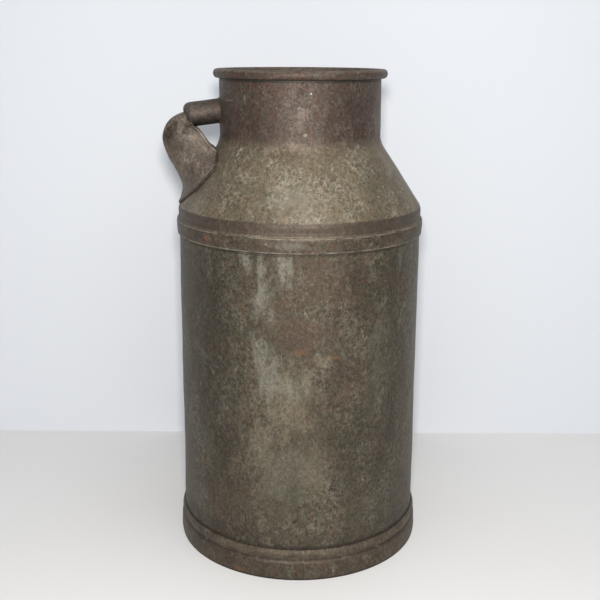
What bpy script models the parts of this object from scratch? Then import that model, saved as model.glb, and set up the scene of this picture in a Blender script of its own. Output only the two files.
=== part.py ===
"""A tinned-steel milk can: body, cone breast, wired neck, hoops, dished bottom and one hooded side handle.

Metres, +Z up, standing on z = 0. The handle points along -X. The can's own axis is parallel to Z and a
little to +X of the origin, so that the origin is the middle of the whole object's footprint.
Turned pieces are outlines in (radius, height), spun round the can's axis.
"""

import math

import bmesh
import bpy
from mathutils import Matrix, Vector

# Overall sizes
CAN_HEIGHT = 0.5296
BODY_RADIUS = 0.1331
NECK_RADIUS = 0.0877
NECK_HEIGHT = 0.0772
CONE_HEIGHT = 0.0712

# Sheet thicknesses, and the clearance between pieces that touch
BODY_SHEET = 0.0009
BREAST_SHEET = 0.0009
NECK_SHEET = 0.0010
BOTTOM_SHEET = 0.0010
GRIP_SHEET = 0.0012
HOOD_SHEET = 0.0015
GAP = 0.0003

# Breast: collar inside the neck, rounded shoulder, locating groove, skirt round the body's top
COLLAR_HEIGHT = 0.0125
COLLAR_BEND = 0.0030
SHOULDER_PROUD = 0.0006
SHOULDER_ROUND = 0.0100
GROOVE_DEPTH = 0.0006
GROOVE_DROP = 0.0067
GROOVE_ROUND = 0.0040
SKIRT_DROP = 0.0115
SKIRT_LENGTH = 0.0140

# Rolled rim: the neck's sheet curled over an oval wire
RIM_ROLL_WIDTH = 0.0076
RIM_ROLL_HEIGHT = 0.0096
RIM_CURL_TURN = 296.0
RIM_WIRE_CLEARANCE = 0.00045

# Half-oval hoop round the breast's skirt
BREAST_HOOP_HEIGHT = 0.0155
BREAST_HOOP_THICK = 0.0015
BREAST_HOOP_BELOW_SKIRT = 0.0022
BREAST_HOOP_TOP_EDGE = 0.0010
BREAST_HOOP_CREST_DROP = 0.0028
BREAST_HOOP_CREST_ROUND = 0.0015
BREAST_HOOP_FALL_THICK = 0.0011
BREAST_HOOP_FALL_DROP = 0.0108
BREAST_HOOP_FALL_ROUND = 0.0060
BREAST_HOOP_BOTTOM_EDGE = 0.0007

# Foot hoop and dished bottom
FOOT_HOOP_HEIGHT = 0.0335
FOOT_HOOP_THICK = 0.0030
FOOT_TOP_EDGE = 0.0012
FOOT_BEAD_HEIGHT = 0.0113
FOOT_BEAD_CREST_DROP = 0.0051
FOOT_BEAD_ROUND = 0.0036
FOOT_GROOVE_DEPTH = 0.0012
FOOT_BAND_DROP = 0.0030
FOOT_BAND_PROUD = 0.0005
FOOT_BAND_CREST_Z = 0.0044
FOOT_BAND_ROUND = 0.0030
FOOT_FLARE = 0.0012
FOOT_BOTTOM_FLARE = 0.0006
FOOT_LIP_WIDTH = 0.0040
FOOT_LIP_THICK = 0.0030
BOTTOM_RECESS = 0.0130
BOTTOM_CROWN = 0.0035
BOTTOM_CORNER = 0.0050

# Side seam: a folded lock seam down the back of the body
SEAM_WIDTH = 0.0085
SEAM_PROUD = 0.0009
SEAM_END_CLEARANCE = 0.0015

# Solder sweated into the corner between neck and cone
SOLDER_ROUND = 0.0250
SOLDER_EDGE = 0.00015

# Handle: a tubular grip over the tongue of a pressed hood, riveted to the neck
GRIP_RADIUS = 0.0132
GRIP_LENGTH = 0.0380
GRIP_DROP = 0.0445
GRIP_SLOPE = 7.4
GRIP_END_ROUND = 0.0070
GRIP_END_LIP = 0.0002
GRIP_MOUTH_CUT = 0.0105
GRIP_MOUTH_ARCH = 0.9
TONGUE_CLEARANCE = 0.0027
TONGUE_EDGE_FALL = 0.0048
TONGUE_STEPS_OUT = (0.0006, 0.0170, 0.0255)
HOOD_BULGE = 0.0231
HOOD_APEX_DROP = 0.0280
HOOD_SEAT = 0.00045
TAB_HALF_WIDTH = 0.0048
TAB_CLEARANCE = 0.0008
TAB_MARGIN = 0.0001
RIVET_SHANK_RADIUS = 0.0018
RIVET_HEAD_RADIUS = 0.0030
RIVET_HEAD_HEIGHT = 0.0017
RIVET_TO_TONGUE = 0.0007
HOLE_PLUG_LENGTH = 0.0180

# The hood's section at the grip's mouth. Crown: up from the tongue's crown. Corner: wider than the tongue,
# down from the tongue's crown. Edge: back from the grip's end, wider than the tongue, down from the axis.
HOOD_MOUTH = (0.0007, (0.0001, 0.0013), (0.0080, -0.0001, 0.0096))

# Its sections where it is free. Crown: back from the reach, up from the apex. Corner: back from the reach,
# half width, up from the apex. Edge: back from the grip's end, half width, down from the axis at the mouth.
HOOD_FREE = (
    ((0.0073, 0.0175), (0.0100, 0.0150, 0.0145), (0.0157, 0.0150, 0.0167)),
    ((0.0000, 0.0000), (0.0020, 0.0190, -0.0010), (0.0260, 0.0205, 0.0312)),
)

# Its sections over the cone. Crown: share of the way down the cone, height off it. Corner: share, height
# off the cone, half width. Edge, which lies on the cone: share, half width.
HOOD_FOOT = (
    ((0.225, 0.0448), (0.210, 0.0400, 0.0215), (0.150, 0.0255)),
    ((0.420, 0.0281), (0.407, 0.0160, 0.0245), (0.355, 0.0420)),
    ((0.670, 0.0096), (0.680, 0.0045, 0.0190), (0.660, 0.0325)),
    ((0.920, 0.0015), (0.920, 0.0014, 0.0020), (0.920, 0.0040)),
)

# Facets
RING_SIDES = 60
GRIP_SIDES = 24
RIVET_SIDES = 16
RIM_CURL_STEPS = 11
RIM_WIRE_SIDES = 10
TAB_STEPS = 4
HOOD_STEPS_BETWEEN_KEYS = 3
HOOD_STEPS_ACROSS = 5

# Sizes that follow from those above
CONE_TOP_Z = CAN_HEIGHT - NECK_HEIGHT
SHOULDER_Z = CONE_TOP_Z - CONE_HEIGHT
SKIRT_INNER_RADIUS = BODY_RADIUS + GAP
SKIRT_RADIUS = SKIRT_INNER_RADIUS + BREAST_SHEET
SHOULDER_RADIUS = SKIRT_RADIUS + SHOULDER_PROUD
SKIRT_BOTTOM_Z = SHOULDER_Z - SKIRT_DROP - SKIRT_LENGTH
BREAST_HOOP_BOTTOM_Z = SKIRT_BOTTOM_Z - BREAST_HOOP_BELOW_SKIRT
BODY_BOTTOM_Z = FOOT_LIP_THICK + GAP
BODY_TOP_Z = SHOULDER_Z - SKIRT_DROP - 2 * GAP
FOOT_INNER_RADIUS = BODY_RADIUS + GAP
FOOT_RADIUS = FOOT_INNER_RADIUS + FOOT_HOOP_THICK + FOOT_FLARE
CONE_SLOPE = Vector((SHOULDER_RADIUS - NECK_RADIUS, -CONE_HEIGHT)).normalized()
CONE_NORMAL = Vector((-CONE_SLOPE.y, CONE_SLOPE.x))
CONE_BEND = CONE_SLOPE.angle(Vector((0, -1)))
COLLAR_RADIUS = NECK_RADIUS - NECK_SHEET - GAP - BREAST_SHEET / 2
GRIP_Z = CAN_HEIGHT - GRIP_DROP
GRIP_TILT = math.radians(GRIP_SLOPE)
GRIP_BORE = GRIP_RADIUS - GRIP_SHEET
GRIP_END_OPENING = GRIP_RADIUS - GRIP_SHEET / 2 - GRIP_END_ROUND - GRIP_END_LIP
TAB_REACH = math.sqrt((GRIP_BORE - TAB_CLEARANCE) ** 2 - TAB_HALF_WIDTH ** 2)
RIVET_OFFSET = TAB_REACH - RIVET_HEAD_RADIUS - TAB_MARGIN
TONGUE_HALF_WIDTH = GRIP_BORE - TONGUE_CLEARANCE
TONGUE_CROWN_RISE = RIVET_OFFSET - RIVET_HEAD_RADIUS - RIVET_TO_TONGUE - HOOD_SHEET / 2
HANDLE_REACH = NECK_RADIUS + GRIP_LENGTH + HOOD_BULGE
CAN_AXIS_X = (HANDLE_REACH + HOOD_SHEET / 2 - FOOT_RADIUS) / 2


def clear_scene():
    for found in list(bpy.data.objects):
        bpy.data.objects.remove(found, do_unlink=True)


def steel(name, colour, roughness, metallic):
    """A plain Principled material in the finish's own colour."""
    made = bpy.data.materials.new(name)
    made.use_nodes = True
    shader = made.node_tree.nodes["Principled BSDF"]
    shader.inputs["Base Color"].default_value = (*colour, 1.0)
    shader.inputs["Roughness"].default_value = roughness
    shader.inputs["Metallic"].default_value = metallic
    made.diffuse_color = (*colour, 1.0)
    return made


def rounded(corners, step_degrees=15.0):
    """A path through (x, y) corners, where a corner given as (x, y, radius) becomes an arc."""
    path = []
    for i, corner in enumerate(corners):
        point = Vector(corner[:2])
        if len(corner) == 2:
            path.append(point)
            continue
        arriving = (point - Vector(corners[i - 1][:2])).normalized()
        leaving = (Vector(corners[i + 1][:2]) - point).normalized()
        turn = arriving.angle_signed(leaving)
        side = Vector((arriving.y, -arriving.x)) * (1 if turn > 0 else -1)
        start = point - arriving * corner[2] * math.tan(abs(turn) / 2)
        centre = start + side * corner[2]
        steps = max(1, math.ceil(math.degrees(abs(turn)) / step_degrees))
        for step in range(steps + 1):
            path.append(centre + Matrix.Rotation(-turn * step / steps, 2) @ (start - centre))
    return path


def sheet_outline(path, thickness):
    """The closed outline of a sheet bent along a path, half its thickness on each side."""
    left = []
    right = []
    for i, point in enumerate(path):
        before = (point - path[max(i - 1, 0)]).normalized()
        after = (path[min(i + 1, len(path) - 1)] - point).normalized()
        along = (before + after).normalized()
        reach = thickness / 2 / max(along.dot(after if i == 0 else before), 0.5)
        side = Vector((-along.y, along.x)) * reach
        left.append(point + side)
        right.append(point - side)
    return left + right[::-1]


def add_object(name, shape, material):
    """A finished bmesh as an object on the can's axis, smooth except at its sharp edges."""
    mesh = bpy.data.meshes.new(name)
    shape.to_mesh(mesh)
    shape.free()
    mesh.materials.append(material)
    mesh.shade_smooth()
    mesh.set_sharp_from_angle(angle=math.radians(35))
    made = bpy.data.objects.new(name, mesh)
    bpy.context.scene.collection.objects.link(made)
    made.parent = bpy.data.objects["can_axis"]
    return made


def spun(outline, sides):
    """A closed (radius, height) outline turned round Z, as a bmesh."""
    shape = bmesh.new()
    points = [shape.verts.new((p[0], 0, p[1])) for p in outline]
    for i, point in enumerate(points):
        shape.edges.new((points[i - 1], point))
    bmesh.ops.spin(
        shape, geom=shape.verts[:] + shape.edges[:], cent=(0, 0, 0), axis=(0, 0, 1),
        angle=2 * math.pi, steps=sides, use_merge=True,
    )
    bmesh.ops.remove_doubles(shape, verts=shape.verts, dist=1e-6)
    bmesh.ops.dissolve_degenerate(shape, edges=shape.edges, dist=1e-7)
    bmesh.ops.recalc_face_normals(shape, faces=shape.faces)
    if shape.calc_volume(signed=True) < 0:
        bmesh.ops.reverse_faces(shape, faces=shape.faces)
    return shape


def turned(name, outline, material):
    return add_object(name, spun(outline, RING_SIDES), material)


def boolean(target, cutter, operation):
    """Joins or cuts with a helper, which stays in the scene as a wire guide and isn't part of the can."""
    cutter.hide_render = True
    cutter.display_type = "WIRE"
    modifier = target.modifiers.new(cutter.name, "BOOLEAN")
    modifier.operation = operation
    modifier.solver = "EXACT"
    modifier.object = cutter


def cone_radius(z, proud=0.0):
    """The radius at height z of the cone's outer face, or of a surface that far proud of it."""
    share = (CONE_TOP_Z - z) / CONE_HEIGHT
    return NECK_RADIUS + (SHOULDER_RADIUS - NECK_RADIUS) * share + proud / CONE_NORMAL.x


def on_cone_line(radius, proud):
    """The (radius, height) point at this radius on the line that lies proud of the cone's outer face."""
    fall = (radius - NECK_RADIUS - proud / CONE_NORMAL.x) / CONE_SLOPE.x
    return Vector((radius, CONE_TOP_Z + fall * CONE_SLOPE.y))


def collar_corner():
    """Where the middle lines of the breast's collar and cone meet."""
    return on_cone_line(COLLAR_RADIUS, -BREAST_SHEET / 2)


def make_body_shell(material):
    """The straight-sided body: one sheet rolled round and closed by a lock seam down the back."""
    inner = BODY_RADIUS - BODY_SHEET
    shell = turned("body_shell", [
        (BODY_RADIUS, BODY_TOP_Z),
        (BODY_RADIUS, BODY_BOTTOM_Z),
        (inner, BODY_BOTTOM_Z),
        (inner, BODY_TOP_Z),
    ], material)
    bottom = FOOT_HOOP_HEIGHT + SEAM_END_CLEARANCE
    top = BREAST_HOOP_BOTTOM_Z - SEAM_END_CLEARANCE
    back = BODY_RADIUS + SEAM_PROUD
    front = BODY_RADIUS - BODY_SHEET / 2
    seam = bmesh.new()
    bmesh.ops.create_cube(seam, size=1.0)
    bmesh.ops.scale(seam, vec=(SEAM_WIDTH, back - front, top - bottom), verts=seam.verts)
    bmesh.ops.translate(seam, vec=(0, (back + front) / 2, (top + bottom) / 2), verts=seam.verts)
    boolean(shell, add_object("seam_fold_guide", seam, material), "UNION")


def make_breast(material):
    """Collar, cone, rounded shoulder, the groove that the body's top edge stops against, and the skirt."""
    half = BREAST_SHEET / 2
    skirt = SKIRT_RADIUS - half
    path = rounded([
        (COLLAR_RADIUS, CONE_TOP_Z + COLLAR_HEIGHT),
        (*collar_corner(), COLLAR_BEND),
        (*on_cone_line(SHOULDER_RADIUS - half, -half), SHOULDER_ROUND),
        (skirt - GROOVE_DEPTH, SHOULDER_Z - GROOVE_DROP, GROOVE_ROUND),
        (skirt, SHOULDER_Z - SKIRT_DROP, GROOVE_ROUND),
        (skirt, SKIRT_BOTTOM_Z),
    ])
    turned("breast", sheet_outline(path, BREAST_SHEET), material)


def rim_point(inset, degrees):
    """A point of the oval this far inside the rolled rim's outer face, where 180 degrees faces the mouth."""
    angle = math.radians(degrees)
    centre = Vector((NECK_RADIUS - NECK_SHEET + RIM_ROLL_WIDTH / 2, CAN_HEIGHT - RIM_ROLL_HEIGHT / 2))
    across = (RIM_ROLL_WIDTH / 2 - inset) * math.cos(angle)
    upright = (RIM_ROLL_HEIGHT / 2 - inset) * math.sin(angle)
    return centre + Vector((across, upright))


def make_neck(material):
    """The straight neck, dropped over the breast's collar, with its top edge curled out round the wire."""
    half = NECK_SHEET / 2
    middle = NECK_RADIUS - half
    foot = collar_corner().y + COLLAR_BEND * math.tan(CONE_BEND / 2) + GAP
    path = [Vector((middle, foot)), Vector((middle, CAN_HEIGHT - RIM_ROLL_HEIGHT))]
    for step in range(RIM_CURL_STEPS + 1):
        path.append(rim_point(half, 180 - RIM_CURL_TURN * step / RIM_CURL_STEPS))
    turned("neck", sheet_outline(path, NECK_SHEET), material)


def make_rim_wire(material):
    """The oval wire that the rim is rolled round."""
    inset = NECK_SHEET + RIM_WIRE_CLEARANCE
    outline = [rim_point(inset, 360 * side / RIM_WIRE_SIDES) for side in range(RIM_WIRE_SIDES)]
    turned("rim_wire", outline, material)


def make_neck_solder(material):
    """The solder that fills the corner between the neck's foot and the cone, with thin edges."""
    reach = SOLDER_ROUND * math.tan(CONE_BEND / 2)
    wall = NECK_RADIUS + GAP
    corner = on_cone_line(wall, GAP)
    head = corner + Vector((0, reach))
    foot = corner + CONE_SLOPE * reach
    face = rounded([
        head + Vector((1, 1)) * SOLDER_EDGE,
        (wall + SOLDER_EDGE, corner.y, SOLDER_ROUND - 2 * SOLDER_EDGE),
        foot + (CONE_NORMAL + CONE_SLOPE) * SOLDER_EDGE,
    ], 9.0)
    turned("neck_solder", [
        head + Vector((0, SOLDER_EDGE)),
        *face,
        foot + CONE_SLOPE * SOLDER_EDGE,
        corner,
    ], material)


def make_breast_hoop(material):
    """A half-oval steel hoop, fullest near its top, round the skirt and the body's top."""
    inner = SKIRT_RADIUS + GAP
    bottom = BREAST_HOOP_BOTTOM_Z
    top = bottom + BREAST_HOOP_HEIGHT
    turned("breast_hoop", rounded([
        (inner, bottom),
        (inner, top),
        (inner + BREAST_HOOP_TOP_EDGE, top),
        (inner + BREAST_HOOP_THICK, top - BREAST_HOOP_CREST_DROP, BREAST_HOOP_CREST_ROUND),
        (inner + BREAST_HOOP_FALL_THICK, top - BREAST_HOOP_FALL_DROP, BREAST_HOOP_FALL_ROUND),
        (inner + BREAST_HOOP_BOTTOM_EDGE, bottom),
    ]), material)


def make_foot_hoop(material):
    """The heavy hoop that the can stands on: bead, groove and convex band, with a lip under the body."""
    inner = FOOT_INNER_RADIUS
    outer = inner + FOOT_HOOP_THICK
    top = FOOT_HOOP_HEIGHT
    groove_z = top - FOOT_BEAD_HEIGHT
    turned("foot_hoop", rounded([
        (inner - FOOT_LIP_WIDTH, 0),
        (inner - FOOT_LIP_WIDTH, FOOT_LIP_THICK),
        (inner, FOOT_LIP_THICK),
        (inner, top),
        (inner + FOOT_TOP_EDGE, top),
        (outer, top - FOOT_BEAD_CREST_DROP, FOOT_BEAD_ROUND),
        (outer - FOOT_GROOVE_DEPTH, groove_z),
        (outer + FOOT_BAND_PROUD, groove_z - FOOT_BAND_DROP, FOOT_BAND_ROUND),
        (outer + FOOT_FLARE, FOOT_BAND_CREST_Z, FOOT_BAND_ROUND),
        (outer + FOOT_BOTTOM_FLARE, 0),
    ], 22.0), material)


def make_bottom_plate(material):
    """The dished bottom: a disc crowned as a shallow parabola, its flange turned down inside the body."""
    half = BOTTOM_SHEET / 2
    flange = BODY_RADIUS - BODY_SHEET - GAP - half
    rim_z = BOTTOM_RECESS + half
    path = rounded([
        *[(flange * out, rim_z + BOTTOM_CROWN * (1 - out ** 2)) for out in (0, 1 / 4, 1 / 2, 3 / 4)],
        (flange, rim_z, BOTTOM_CORNER),
        (flange, BODY_BOTTOM_Z),
    ])
    outline = sheet_outline(path, BOTTOM_SHEET)
    outline[0].x = 0
    outline[-1].x = 0
    turned("bottom_plate", outline, material)


def out_from_neck(out, side, z):
    """A point of the handle: this far out from the neck's wall along -X, and this far to the -Y side."""
    return Vector((-(NECK_RADIUS + out), -side, z))


def grip_axis_z(out):
    return GRIP_Z - out * math.tan(GRIP_TILT)


def over_cone(share_down, stand_off, half_width=0.0):
    """A point of the hood this share of the way down the cone, this far off it and to the -Y side."""
    z = CONE_TOP_Z - CONE_HEIGHT * share_down
    return Vector((-(cone_radius(z) + stand_off), -half_width, z))


def on_cone(share_down, half_width):
    """A point of the hood's foot, where its sheet lies on the cone."""
    z = CONE_TOP_Z - CONE_HEIGHT * share_down
    radius = cone_radius(z, HOOD_SHEET / 2 + HOOD_SEAT)
    return Vector((-math.sqrt(radius * radius - half_width * half_width), -half_width, z))


def hood_keys():
    """(crown, corner, edge) of the hood's sections from the neck to the tip of its foot, on its -Y half.

    A section runs from the crown, on the middle line, to the edge, and turns at the corner.
    """
    keys = []
    for out in TONGUE_STEPS_OUT:
        z = grip_axis_z(out)
        keys.append((
            out_from_neck(out, 0, z + TONGUE_CROWN_RISE),
            out_from_neck(out, TONGUE_HALF_WIDTH, z + TONGUE_CROWN_RISE),
            out_from_neck(out, TONGUE_HALF_WIDTH, z - TONGUE_EDGE_FALL),
        ))
    mouth = grip_axis_z(GRIP_LENGTH)
    tongue_crown = mouth + TONGUE_CROWN_RISE
    crown_up, (corner_wider, corner_down), (edge_back, edge_wider, edge_down) = HOOD_MOUTH
    keys.append((
        out_from_neck(GRIP_LENGTH, 0, tongue_crown + crown_up),
        out_from_neck(GRIP_LENGTH, TONGUE_HALF_WIDTH + corner_wider, tongue_crown - corner_down),
        out_from_neck(GRIP_LENGTH - edge_back, TONGUE_HALF_WIDTH + edge_wider, mouth - edge_down),
    ))
    reach = HANDLE_REACH - NECK_RADIUS
    apex = GRIP_Z - HOOD_APEX_DROP
    for crown, corner, edge in HOOD_FREE:
        keys.append((
            out_from_neck(reach - crown[0], 0, apex + crown[1]),
            out_from_neck(reach - corner[0], corner[1], apex + corner[2]),
            out_from_neck(GRIP_LENGTH - edge[0], edge[1], mouth - edge[2]),
        ))
    for crown, corner, edge in HOOD_FOOT:
        keys.append((over_cone(*crown), over_cone(*corner), on_cone(*edge)))
    return keys


def between(before, start, end, after, share):
    """Catmull-Rom: a smooth curve from start to end that heads the way its neighbours lie."""
    return 0.5 * (
        2 * start + (end - before) * share + (2 * before - 5 * start + 4 * end - after) * share ** 2
        + (3 * start - before - 3 * end + after) * share ** 3
    )


def clear_of_cone(point):
    """The point itself, or the nearest one outwards where the sheet lies on the cone."""
    radius = math.hypot(point.x, point.y)
    scale = max(1, cone_radius(point.z, HOOD_SHEET / 2 + HOOD_SEAT) / radius)
    return Vector((point.x * scale, point.y * scale, point.z))


def hood_sections():
    """The hood's sections, the keys and the steps between them, each as points from edge to edge."""
    keys = hood_keys()
    last = len(keys) - 1
    sections = []
    for i in range(last):
        steps = HOOD_STEPS_BETWEEN_KEYS if i >= len(TONGUE_STEPS_OUT) - 1 else 1
        for step in range(steps + (1 if i == last - 1 else 0)):
            near = [keys[max(i - 1, 0)], keys[i], keys[i + 1], keys[min(i + 2, last)]]
            crown, corner, edge = (between(*[key[part] for key in near], step / steps) for part in range(3))
            half = []
            for across in range(HOOD_STEPS_ACROSS + 1):
                share = across / HOOD_STEPS_ACROSS
                point = crown * (1 - share) ** 2 + corner * 2 * share * (1 - share) + edge * share ** 2
                half.append(clear_of_cone(point) if point.z < CONE_TOP_Z else point)
            mirrored = [Vector((p.x, -p.y, p.z)) for p in half[:0:-1]]
            sections.append(mirrored + half)
    return sections


def make_hood(material):
    """The pressed hood: a tongue inside the grip, the overhanging hood, and the foot spread on the cone."""
    shape = bmesh.new()
    rows = [[shape.verts.new(p) for p in section] for section in hood_sections()]
    for upper, lower in zip(rows, rows[1:]):
        for i in range(len(upper) - 1):
            shape.faces.new((upper[i], upper[i + 1], lower[i + 1], lower[i]))
    bmesh.ops.recalc_face_normals(shape, faces=shape.faces)
    hood = add_object("handle_hood", shape, material)
    thicken = hood.modifiers.new("sheet", "SOLIDIFY")
    thicken.thickness = HOOD_SHEET
    thicken.offset = 0
    thicken.use_even_offset = True
    boolean(hood, make_tab_guide(material), "UNION")
    for hole in make_rivet_holes(material):
        boolean(hood, hole, "DIFFERENCE")


def make_tab_guide(material):
    """The tab turned up and down at the tongue's end, curved to the neck's wall."""
    wall = NECK_RADIUS + GAP
    corners = [
        (wall, GRIP_Z - TAB_REACH),
        (wall, GRIP_Z + TAB_REACH),
        (wall + HOOD_SHEET, GRIP_Z + TAB_REACH),
        (wall + HOOD_SHEET, GRIP_Z - TAB_REACH),
    ]
    shape = bmesh.new()
    rows = []
    for step in range(TAB_STEPS + 1):
        side = TAB_HALF_WIDTH * (2 * step / TAB_STEPS - 1)
        row = [(-math.sqrt(radius ** 2 - side ** 2), side, z) for radius, z in corners]
        rows.append([shape.verts.new(point) for point in row])
    for first, second in zip(rows, rows[1:]):
        for i in range(4):
            shape.faces.new((first[i], first[i - 1], second[i - 1], second[i]))
    shape.faces.new(rows[0])
    shape.faces.new(rows[-1][::-1])
    bmesh.ops.recalc_face_normals(shape, faces=shape.faces)
    return add_object("neck_tab_guide", shape, material)


def rivet_heights():
    return {"upper": GRIP_Z + RIVET_OFFSET, "lower": GRIP_Z - RIVET_OFFSET}


def along_minus_x(shape, height):
    """Lays a shape that was turned round Z along -X, through the handle's middle at this height."""
    bmesh.ops.rotate(shape, cent=(0, 0, 0), matrix=Matrix.Rotation(-math.pi / 2, 3, "Y"), verts=shape.verts)
    bmesh.ops.translate(shape, vec=(0, 0, height), verts=shape.verts)


def make_rivet_holes(material):
    """Plugs, a clearance wider than the rivets' shanks, that cut through the neck's wall and the tab."""
    plugs = []
    for name, height in rivet_heights().items():
        shape = bmesh.new()
        bmesh.ops.create_cone(
            shape, cap_ends=True, segments=RIVET_SIDES, depth=HOLE_PLUG_LENGTH,
            radius1=RIVET_SHANK_RADIUS + GAP, radius2=RIVET_SHANK_RADIUS + GAP,
        )
        bmesh.ops.translate(shape, vec=(0, 0, NECK_RADIUS), verts=shape.verts)
        along_minus_x(shape, height)
        plugs.append(add_object(name + "_hole_guide", shape, material))
    return plugs


def rivet_head(seat, side):
    """Half the outline of a round head, from its seat to its crown, on the +1 or -1 side of the seat."""
    head = [Vector((RIVET_HEAD_RADIUS, seat))]
    for degrees in (60, 30, 0):
        angle = math.radians(degrees)
        rise = side * RIVET_HEAD_HEIGHT * math.cos(angle)
        head.append(Vector((RIVET_HEAD_RADIUS * math.sin(angle), seat + rise)))
    return head


def make_rivets(material):
    """Two round-headed rivets through the neck's wall and the hood's tab, hidden inside the grip."""
    sag = NECK_RADIUS - math.sqrt(NECK_RADIUS ** 2 - RIVET_HEAD_RADIUS ** 2)
    facet = NECK_RADIUS * (1 - math.cos(math.pi / RING_SIDES))
    inner_seat = NECK_RADIUS - NECK_SHEET - GAP - sag - facet
    outer_seat = NECK_RADIUS + GAP + HOOD_SHEET + GAP
    shank = [Vector((RIVET_SHANK_RADIUS, inner_seat)), Vector((RIVET_SHANK_RADIUS, outer_seat))]
    for name, height in rivet_heights().items():
        shape = spun(rivet_head(inner_seat, -1)[::-1] + shank + rivet_head(outer_seat, 1), RIVET_SIDES)
        along_minus_x(shape, height)
        add_object("handle_rivet_" + name, shape, material)


def along_grip(shape, turn):
    """Turns a shape round Y and moves its origin to where the grip's axis meets the neck."""
    bmesh.ops.rotate(shape, cent=(0, 0, 0), matrix=Matrix.Rotation(turn, 3, "Y"), verts=shape.verts)
    bmesh.ops.translate(shape, vec=(-NECK_RADIUS, 0, GRIP_Z), verts=shape.verts)


def make_grip(material):
    """The tubular grip: rounded in at its outer end, cut to the neck's wall, open below for the hood."""
    path = rounded([
        (GRIP_RADIUS - GRIP_SHEET / 2, -GRIP_RADIUS),
        (GRIP_RADIUS - GRIP_SHEET / 2, GRIP_LENGTH, GRIP_END_ROUND),
        (GRIP_END_OPENING, GRIP_LENGTH),
    ], 22.5)
    shape = spun(sheet_outline(path, GRIP_SHEET), GRIP_SIDES)
    along_grip(shape, -math.pi / 2 - GRIP_TILT)
    grip = add_object("handle_grip", shape, material)

    wall = spun([
        (NECK_RADIUS + GAP, CAN_HEIGHT),
        (NECK_RADIUS + GAP, CONE_TOP_Z),
        (NECK_RADIUS / 2, CONE_TOP_Z),
        (NECK_RADIUS / 2, CAN_HEIGHT),
    ], RING_SIDES)
    boolean(grip, add_object("neck_wall_guide", wall, material), "DIFFERENCE")

    clearance = HOOD_SHEET / 2 + 2 * GAP
    half = TONGUE_HALF_WIDTH + clearance
    crown = TONGUE_CROWN_RISE + clearance
    arch = rounded([
        (half, -2 * GRIP_RADIUS),
        (half, crown, half * GRIP_MOUTH_ARCH),
        (-half, crown, half * GRIP_MOUTH_ARCH),
        (-half, -2 * GRIP_RADIUS),
    ], 22.5)
    shape = bmesh.new()
    mouth = shape.faces.new([shape.verts.new((-(GRIP_LENGTH - GRIP_MOUTH_CUT), p.x, p.y)) for p in arch])
    pushed = bmesh.ops.extrude_face_region(shape, geom=[mouth])["geom"]
    far_side = [item for item in pushed if isinstance(item, bmesh.types.BMVert)]
    bmesh.ops.translate(shape, vec=(-2 * GRIP_MOUTH_CUT, 0, 0), verts=far_side)
    along_grip(shape, -GRIP_TILT)
    bmesh.ops.recalc_face_normals(shape, faces=shape.faces)
    boolean(grip, add_object("grip_mouth_guide", shape, material), "DIFFERENCE")


def main():
    clear_scene()
    axis = bpy.data.objects.new("can_axis", None)
    bpy.context.scene.collection.objects.link(axis)
    axis.location = (CAN_AXIS_X, 0, 0)

    body_steel = steel("body_steel", (0.17, 0.14, 0.11), 0.55, 0.6)
    breast_steel = steel("breast_steel", (0.25, 0.21, 0.16), 0.6, 0.5)
    neck_steel = steel("neck_steel", (0.10, 0.075, 0.06), 0.6, 0.5)
    hoop_steel = steel("hoop_steel", (0.14, 0.11, 0.09), 0.55, 0.6)
    handle_steel = steel("handle_steel", (0.19, 0.15, 0.12), 0.55, 0.6)
    solder = steel("solder", (0.17, 0.14, 0.11), 0.6, 0.6)

    make_body_shell(body_steel)
    make_breast(breast_steel)
    make_neck(neck_steel)
    make_rim_wire(hoop_steel)
    make_neck_solder(solder)
    make_breast_hoop(hoop_steel)
    make_foot_hoop(hoop_steel)
    make_bottom_plate(body_steel)
    make_hood(handle_steel)
    make_grip(handle_steel)
    make_rivets(handle_steel)
    for hole in [bpy.data.objects[name + "_hole_guide"] for name in rivet_heights()]:
        boolean(bpy.data.objects["neck"], hole, "DIFFERENCE")


main()
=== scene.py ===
# %% [markdown]
# # An old milk can
#
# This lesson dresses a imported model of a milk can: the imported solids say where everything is, and each
# cell here makes one piece again with a finer surface, or one finish. The real can is sheet steel,
# tinned all over, that has stood about for many years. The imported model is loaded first, because every
# later place is measured from it.

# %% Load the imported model
import math

import bmesh
import bpy
from mathutils import Matrix, Vector, noise


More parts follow.
